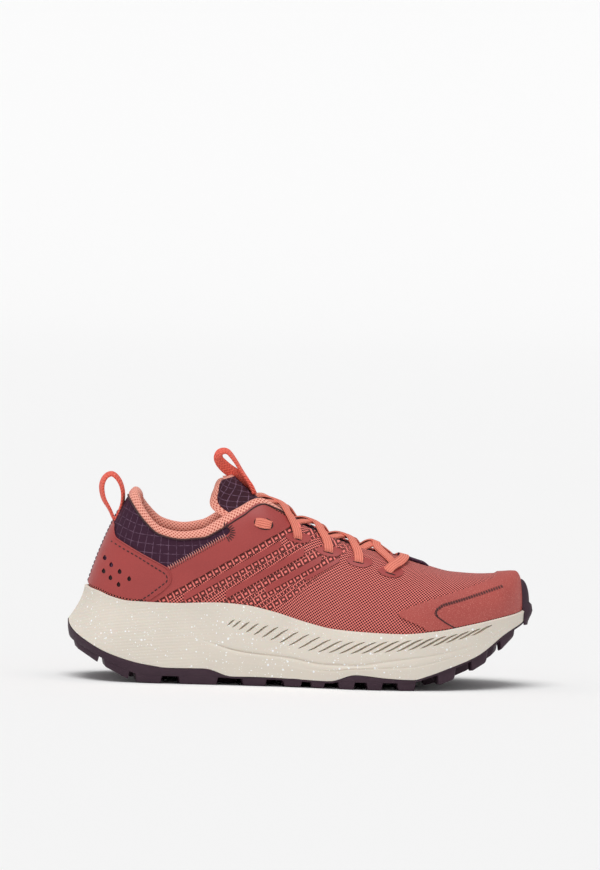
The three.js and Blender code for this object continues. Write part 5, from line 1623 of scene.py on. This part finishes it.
    def insole(self) -> None:
        """The removable sockliner."""
        turns = np.linspace(0, 2, 2 * 90 + 1)
        heel = smooth((0.3 - along_at(FORM.station(turns))) / 0.2)
        low = FORM.bed(turns) + FORM.gap
        high = low + 4 + 3 * heel
        rise = ((high - low) / (FORM.bite(turns) - low)) ** (1 / 1.2)
        clear = FORM.wall_at(turns, 0 * turns) + 2 * FORM.gap
        rim = FORM.grow_plan(FORM.upper_plan, turns, -FORM.tuck * (1 - rise) ** 2 - clear)
        foot = FORM.grow_plan(FORM.upper_plan, turns, -FORM.tuck - clear)
        spine_bed = self.spine_bed(turns)
        spine = self.spine(turns, spine_bed)
        rows = []
        middle = spine_bed + FORM.gap + 4
        for share in np.linspace(0, 0.94, 10):
            plan = spine[:, :2] + (rim - spine[:, :2]) * share
            rows.append(raised(plan, middle + (high - middle) * smooth((share - 0.5) / 0.5)))
        rows += [raised(rim, high), raised(foot, low), self.spine(turns, spine_bed + FORM.gap)]
        points = np.stack(rows)
        liner = sheet("sockliner", points, points[..., :2], outward=True)
        dress(liner, self.palette.knit, "knit", "insole", degrees=50)


@dataclass
class Tongue:
    """Padded tongue: knit body with a rolled edge, and a ripstop front."""

    palette: Palette
    edge: float = 0.1
    # place along, height, half width, fall of the wings, their sweep to the rear, and padding, in mm
    rows: Sequence[tuple[float, float, float, float, float, float]] = (
        (138.1, 68.6, 14, 4.9, 0, 2.5), (126.1, 74.0, 15, 5.2, 0, 2.8), (110.2, 80.2, 17, 7, 0, 3.2),
        (94.2, 85.2, 19, 8, 0, 3.9), (77.6, 91.0, 21, 10, 0, 4.6), (59.5, 99.6, 22, 11.5, 1, 5.6),
        (44.9, 106.6, 22, 12, 11, 6.6), (32.3, 113.8, 20, 10, 19.5, 6.4), (24.5, 120.6, 18, 5.5, 14, 5.2),
        (20.6, 124.4, 15.6, 3, 9.4, 4.4), (18.6, 126.0, 11.5, 2.8, 3.6, 3.2))

    def build(self) -> None:
        """Builds the body and the ripstop on its front."""
        sections = resample(np.array(self.rows), 72)
        crown, up, steps = self.crown(sections)
        solid = self.face(sections, crown, up, 0.0)
        back = self.face(sections, crown, up, 1.0)
        rings = np.concatenate([solid, back[:, ::-1][:, 1:]], 1)
        # both ends close in a half-round roll
        middle = (rings[-1] + np.concatenate([back[-1], solid[-1, ::-1][1:]])) / 2
        onward = unit(crown[-1] - crown[-4])
        radius = sections[-1, 5] / 2
        caps = [middle + (rings[-1] - middle) * math.cos(a) + onward * radius * math.sin(a)
                for a in np.linspace(0.3, math.pi / 2, 6)]
        rings = np.concatenate([(rings[:1] + rings[:1, ::-1]) / 2, rings, np.stack(caps)])
        steps_all = np.concatenate([[-1.0], steps, steps[-1] + np.linspace(1, radius * 1.5, 6)])
        around = np.linspace(0, 110, rings.shape[1])
        uv = np.stack(np.meshgrid(around, steps_all), -1)
        body = sheet("tongue_body", rings, uv, outward=True)
        dress(body, self.palette.collar, "knit", "tongue", degrees=70)
        panel = self.face(sections, crown, up, -0.05, self.edge)[:68]
        panel_uv = np.stack(np.meshgrid(np.linspace(-22, 22, panel.shape[1]), steps[:68]), -1)
        cloth = sheet("tongue_ripstop", panel[:, ::-1], panel_uv[:, ::-1])
        thicken(cloth, 0.35)
        dress(cloth, self.palette.ripstop_tongue, "ripstop")

    def face(self, sections: Points, crown: Points, up: Points, depth: float, inset: float = 0.0) -> Points:
        """One face of the tongue.

        Args:
            sections: array (n, 6) of the rows.
            crown: array (n, 3), its middle line.
            up: array (n, 3), the way its front looks.
            depth: 0 at the front and 1 at the back.
            inset: share of the width left out at each edge.

        Returns:
            Array (n, 35, 3).
        """
        columns = []
        for share in np.sin(np.linspace(-1, 1, 35) * math.pi / 2) * (1 - inset):
            fall = sections[:, 3] * share ** 2 + sections[:, 5] * depth * (1 - share ** 6)
            point = crown - up * fall[:, None]
            point[:, 0] -= sections[:, 4] * share ** 2
            point[:, 1] += sections[:, 2] * share
            columns.append(point)
        return np.stack(columns, 1)

    def crown(self, sections: Points) -> tuple[Points, Points, Points]:
        """Middle line of the front.

        Args:
            sections: array (n, 6) of the rows.

        Returns:
            The line, the way that the front looks there, and the length along it.
        """
        lean = TOP_EDGE.read("lean", station_at((sections[:, 0] + FORM.upper_setback) / FORM.upper_length))
        line = np.stack([sections[:, 0], lean * FORM.upper_width, sections[:, 1]], -1)
        run = unit(np.gradient(line, axis=0))
        up = np.stack([run[:, 2], 0 * run[:, 0], -run[:, 0]], -1)
        held = int(len(up) * 0.8)
        up[held:] = up[held]
        return line, up, lengths(line)


@dataclass
class PullLoops:
    """Webbing loops at the heel and on the tongue."""

    palette: Palette
    thick: float = 1.6
    heel_width: float = 9
    tongue_width: float = 8
    heel_line: Line = (
        (-53.1, 96.2, 0), (-56.6, 103.0, 2), (-60.6, 110.0, 7), (-61.8, 117.5, 9), (-59.6, 123.0, 7),
        (-55.4, 124.8, 4), (-51.2, 121.0, 2), (-48.8, 114.5, 0), (-48.9, 107.0, 0), (-51.4, 99.5, 0))
    tongue_line: Line = (
        (32.0, 114.9, 8), (28.2, 120.0, 30), (21.8, 125.4, 52), (14.2, 130.4, 56), (9.6, 135.6, 40),
        (10.4, 139.8, 20), (14.8, 140.4, 8), (19.6, 135.0, 2), (24.2, 127.9, 0), (29.2, 120.6, 0))

    def build(self) -> None:
        """Builds both loops."""
        self.loop("heel_loop", self.heel_line, self.heel_width, 6.0)
        self.loop("tongue_loop", self.tongue_line, self.tongue_width, 6.0)

    def loop(self, node: str, line: Line, width: float, base: float) -> None:
        """One closed loop.

        Args:
            node: the CAD node it stands for.
            line: places (x, z) of its middle in mm, with its twist in degrees.
            width: width of the webbing.
            base: turn of the whole loop about the vertical, in degrees.
        """
        knots = np.array(line, dtype=float)
        wrapped = np.concatenate([knots[-2:], knots, knots[:3]])
        fine = resample(wrapped, (len(wrapped) - 1) * 10 + 1)[20:-20]
        fine = fine[:-1] if np.allclose(fine[0], fine[-1]) else fine
        path = np.stack([fine[:, 0], 0 * fine[:, 0], fine[:, 1]], -1)
        run = unit(np.roll(path, -1, axis=0) - np.roll(path, 1, axis=0))
        out = np.cross(run, np.array([0.0, 1.0, 0.0]))
        angle = np.radians(fine[:, 2] + base)[:, None]
        facing = out * np.cos(angle) - np.array([0.0, 1.0, 0.0]) * np.sin(angle)
        obj = ribbon(node + "_webbing", path, facing, width, self.thick, closed=True)
        dress(obj, self.palette.webbing, "webbing", node)


@dataclass
class Laces:
    """Flat lace: crossings, the bar at the foot of the throat, and the top eyelets."""

    palette: Palette
    width: float = 5.6
    thick: float = 1.4
    # (x, z) from a last eyelet to the middle of the bar, with its height over the skin
    bar_line: Line = ((113.4, 70.9, -2.6), (114.8, 71.9, 0.2), (117.4, 73.6, 1.7), (120.8, 75.4, 2.0),
                      (124.2, 77.0, 2.1))
    pad: tuple[float, float] = (5.3, 3.3)  # half the length and height of the lace in a top eyelet

    def build(self) -> None:
        """Builds every run of the lace."""
        for k in range(4):
            runs = [self.crossing(k, side, 1.7 if side is Side.LATERAL else 0.2) for side in Side]
            run = join("lace_run_%d" % (k + 1), runs)
            dress(run, self.palette.lace, "lace", "lace_crossing_%d" % (k + 1))
        dress(self.bar(), self.palette.lace, "lace", "lace_bar")
        dress(self.end_tab(), self.palette.ripstop, "ripstop")
        self.top_eyelets()
        self.slots()

    def foot(self, row: int, side: Side) -> Points:
        """Turn and level of an eyelet."""
        return FORM.locate(side, [EYELETS[row]])[0]

    def run(self, name: str, points: Sequence[Points], normals: Sequence[Points], count: int,
            width: float) -> Piece:
        """A run of lace along points, facing the way of their normals."""
        facing = unit(resample(np.array(normals), count))
        return ribbon(name, resample(np.array(points), count), facing, width, self.thick)

    def crossing(self, k: int, side: Side, over: float) -> Piece:
        """A lace from the lower eyelet of one side to under the far eyestay.

        Args:
            k: which crossing, from the top.
            side: side of its lower eyelet.
            over: how far its middle lies over the other one, in mm.

        Returns:
            The new piece.
        """
        far, last = Side(-side.value), k == 3
        (u, start), v = self.foot(k + 1, side), self.foot(k, far)[0]
        back = -0.009 * side.value
        stations = [(u, start - 0.08, -3.2), (u, start - 0.03, -0.6), (u, start + 0.01, 1.4),
                    (u - back * 0.3, start + (0.985 - start) * 0.5, 1.7), (u - back, 0.985, 2.0)]
        if last:  # it comes up from under the bar
            spots = FORM.locate(side, [(120.0, 74.0), (115.5, 77.4)])
            stations = [(*spots[0], -0.6), (*spots[1], 1.5)]
        points, normals = map(list, zip(*(pins(np.array(place), height) for *place, height in stations)))
        if last:
            lean = float(TOP_EDGE.read("lean", station_at(0.66))) * FORM.upper_width
            points.append(np.array([108.5, lean + side.value * 9.0, 84.4]))
            normals.append(unit(np.array([0.2, side.value * 0.55, 0.8])))
        near_edge, far_edge = points[-1], FORM.upper_point(np.array(v), np.array(1.0))
        arch = 2.4 if last else 1.35
        for share, lift in ((0.25, 1.0 * arch), (0.5, 1.1 * arch), (0.75, 0.5 * arch)):
            swing, middle = 3.0 * math.sin(math.pi * share), near_edge + (far_edge - near_edge) * share
            rise = lift - swing * 0.3 + over * 0.7 * math.sin(math.pi * share)
            points.append(middle + np.array([swing, 0, rise]))
        points.append(far_edge + np.array([0, -far.value * 1.0, -2.2]))
        normals += [np.array([0.35, 0, 1.0])] * 4
        hidden, out = pins(np.array([v, 0.93]), -FORM.wall - 2.0)
        return self.run("lace", [*points, hidden], [*normals, out], 72, self.width)

    def bar(self) -> Piece:
        """The run over the end of the throat: from one last eyelet forward, over, and back to the other."""
        points, normals = [], []
        for side, order in ((Side.LATERAL, 1), (Side.MEDIAL, -1)):
            spots = FORM.locate(side, [(x, z) for x, z, _ in self.bar_line])
            for spot, (_, _, lift) in list(zip(spots, self.bar_line))[::order]:
                point, out = pins(spot, lift)
                points.append(point)
                normals.append(out)
        return self.run("lace_end_bar", points, normals, 80, self.width + 0.6)

    def end_tab(self) -> Piece:
        """Dark cloth tab over the end of the throat, under the bar."""
        along = np.linspace(0.714, 0.782, 16)
        u = FORM.turn_at(Side.LATERAL, along)
        path, facing = pins(np.stack([u, np.ones_like(u)], -1), 0.7)
        path[-3:, 2] -= np.array([0.2, 0.6, 1.2])
        return ribbon("throat_end_tab", path, facing, 11.0, 1.6)

    def top_eyelets(self) -> None:
        """Ribbed lace that shows in the open top eyelets."""
        parts = []
        half, tall = self.pad
        a, b = np.meshgrid(np.linspace(-1, 1, 15), np.linspace(-1, 1, 11))
        edge = (1 - abs(a) ** 3.2) ** 0.4 * (1 - abs(b) ** 3.2) ** 0.4
        waist = 1 - 0.25 * a ** 2
        across, rise, dome = (v[..., None] for v in (a * half, b * tall * waist, 1.2 * edge - 0.8))
        for side in Side:
            centre, out = pins(self.foot(0, side), 1.3)
            along = unit(np.array([1.0, 0, -0.18]) - out * out[0])
            up = np.cross(along, out) * side.value
            uv = np.stack([a * half, b * tall], -1)
            pad = sheet("pad", centre + along * across + up * rise + out * dome, uv)
            parts.append(thicken(pad, 0.6, outwards=False))
        dress(join("top_eyelet_lace", parts), self.palette.lace, "lace", degrees=60)

    def slots(self) -> None:
        """Painted shade in the open slots of the eyelets: dark discs, seen round and under the lace."""
        parts = []
        angles, shares = np.meshgrid(np.linspace(0, -math.tau, 25), (0.0, 0.5, 1.0))
        across, climb, dome = (v[..., None] for v in (np.cos(angles) * shares, np.sin(angles) * shares,
                                                      0.4 * (1 - shares)))
        for side in Side:
            for row in range(len(EYELETS)):
                drop, height, half, rise = (0, 0.6, 6.0, 3.9) if row == 0 else (0.03, 0.5, 3.7, 0.6)
                place = self.foot(row, side)
                centre, out = pins(place - (0, drop), height)[0], pins(place, 0)[1]
                along = unit(np.array([1.0, 0, -0.25]) - out * (out[0] - 0.25 * out[2]))
                up = np.cross(along, out) * side.value
                # a near-black disc of painted shade in each open slot
                shade_disc = sheet("slot", centre + along * half * across + up * rise * climb + out * dome)
                parts.append(thicken(shade_disc, 0.3, outwards=False))
        dress(join("eyelet_slot_shade", parts), self.palette.dark_cloth_and_slot_shade, "film", degrees=60)


@dataclass
class Studio:
    """Pale floor, soft lights and the camera at the photo's angle."""

    elevation: float = 4.0
    roll: float = 1.5
    distance: float = 4200
    aim: tuple[float, float, float] = (61.3, 0, 65.6)
    scale: float = 0.608  # mm in one picture element at the lateral side
    near: float = 45
    frame_height: int = 870
    sensor: float = 36
    board_flat: float = 6000
    board_bend: float = 4000
    centre_drop: int = 140

    def build(self) -> None:
        """Sets up floor, lights, camera and colour."""
        self.floor()
        self.lights()
        self.camera()
        scene = bpy.context.scene
        scene.view_settings.view_transform = "Standard"
        scene.view_settings.look = "None"

    def floor(self) -> None:
        """A round board that sweeps up far from the shoe, on every side alike."""
        flat, bend = self.board_flat, self.board_bend
        rings = [(r, 0.0) for r in (0.0, 600.0, 2500.0, flat)]
        rings += [(flat + bend * math.sin(a), bend - bend * math.cos(a)) for a in np.linspace(0.06, 0.9, 12)]
        points = np.array([[(61 + r * math.sin(a), r * math.cos(a), z) for a in np.linspace(0, math.tau, 73)]
                           for r, z in rings])
        board = sheet("studio_floor", points)
        finish = Finish("Matt white board", "F8F8F8", 0.9, (("Specular IOR Level", 0.0),))
        board.data.materials.append(finish.build())
        soften(board, 80)

    def lamp(self, name: str, toward: tuple[float, float, float], spread: float, strength: float) -> None:
        """A broad, far soft box.

        Args:
            name: the light's name.
            toward: direction from the shoe to the light.
            spread: how wide it looks from the shoe, in degrees.
            strength: its light on a surface that faces it.
        """
        deselect()
        bpy.ops.object.light_add(type="SUN", location=Vector(toward) * 3)
        lamp = bpy.context.object
        lamp.name = name
        lamp.data.angle = math.radians(spread)
        lamp.data.energy = strength
        lamp.rotation_euler = (-Vector(toward)).to_track_quat("-Z", "Y").to_euler()

    def lights(self) -> None:
        """A high soft key and a low fill, in a pale room."""
        world = bpy.data.worlds.new("Studio")
        world.use_nodes = True
        background = world.node_tree.nodes["Background"]
        background.inputs["Color"].default_value = linear("F5F5F5")
        background.inputs["Strength"].default_value = 0.46
        bpy.context.scene.world = world
        self.lamp("key", (-0.1, -0.3, 0.95), 40, 1.76)
        self.lamp("fill", (-0.5, -0.85, 0.3), 60, 0.08)

    def camera(self) -> None:
        """The camera, with the frame moved up so that the shoe stands low in it."""
        lift, roll = math.radians(self.elevation), math.radians(self.roll)
        ahead = Vector((0, math.cos(lift), -math.sin(lift)))
        right, up = Vector((1, 0, 0)), Vector((0, math.sin(lift), math.cos(lift)))
        tilted_right = right * math.cos(roll) + up * math.sin(roll)
        tilted_up = up * math.cos(roll) - right * math.sin(roll)
        data = bpy.data.cameras.new("camera")
        camera = bpy.data.objects.new("camera", data)
        bpy.context.collection.objects.link(camera)
        turn = Matrix((tilted_right, tilted_up, -ahead)).transposed()
        eye = (Vector(self.aim) - ahead * self.distance) * MM
        camera.matrix_world = Matrix.Translation(eye) @ turn.to_4x4()
        data.sensor_fit = "VERTICAL"
        data.sensor_height = self.sensor
        data.lens = (self.distance - self.near) / self.scale * self.sensor / self.frame_height
        data.shift_y = self.centre_drop / self.frame_height
        data.clip_end = 100
        bpy.context.scene.camera = camera


def main() -> None:
    """Builds the shoe piece by piece, and the studio round it."""
    logging.basicConfig(level=logging.INFO, format="%(name)s %(message)s")
    palette = Palette()
    for part in (*(kind(palette) for kind in (Sole, Upper, Tongue, PullLoops, Laces)), Studio()):
        LOG.info("building %s", type(part).__name__)
        part.build()


if __name__ == "__main__":
    main()
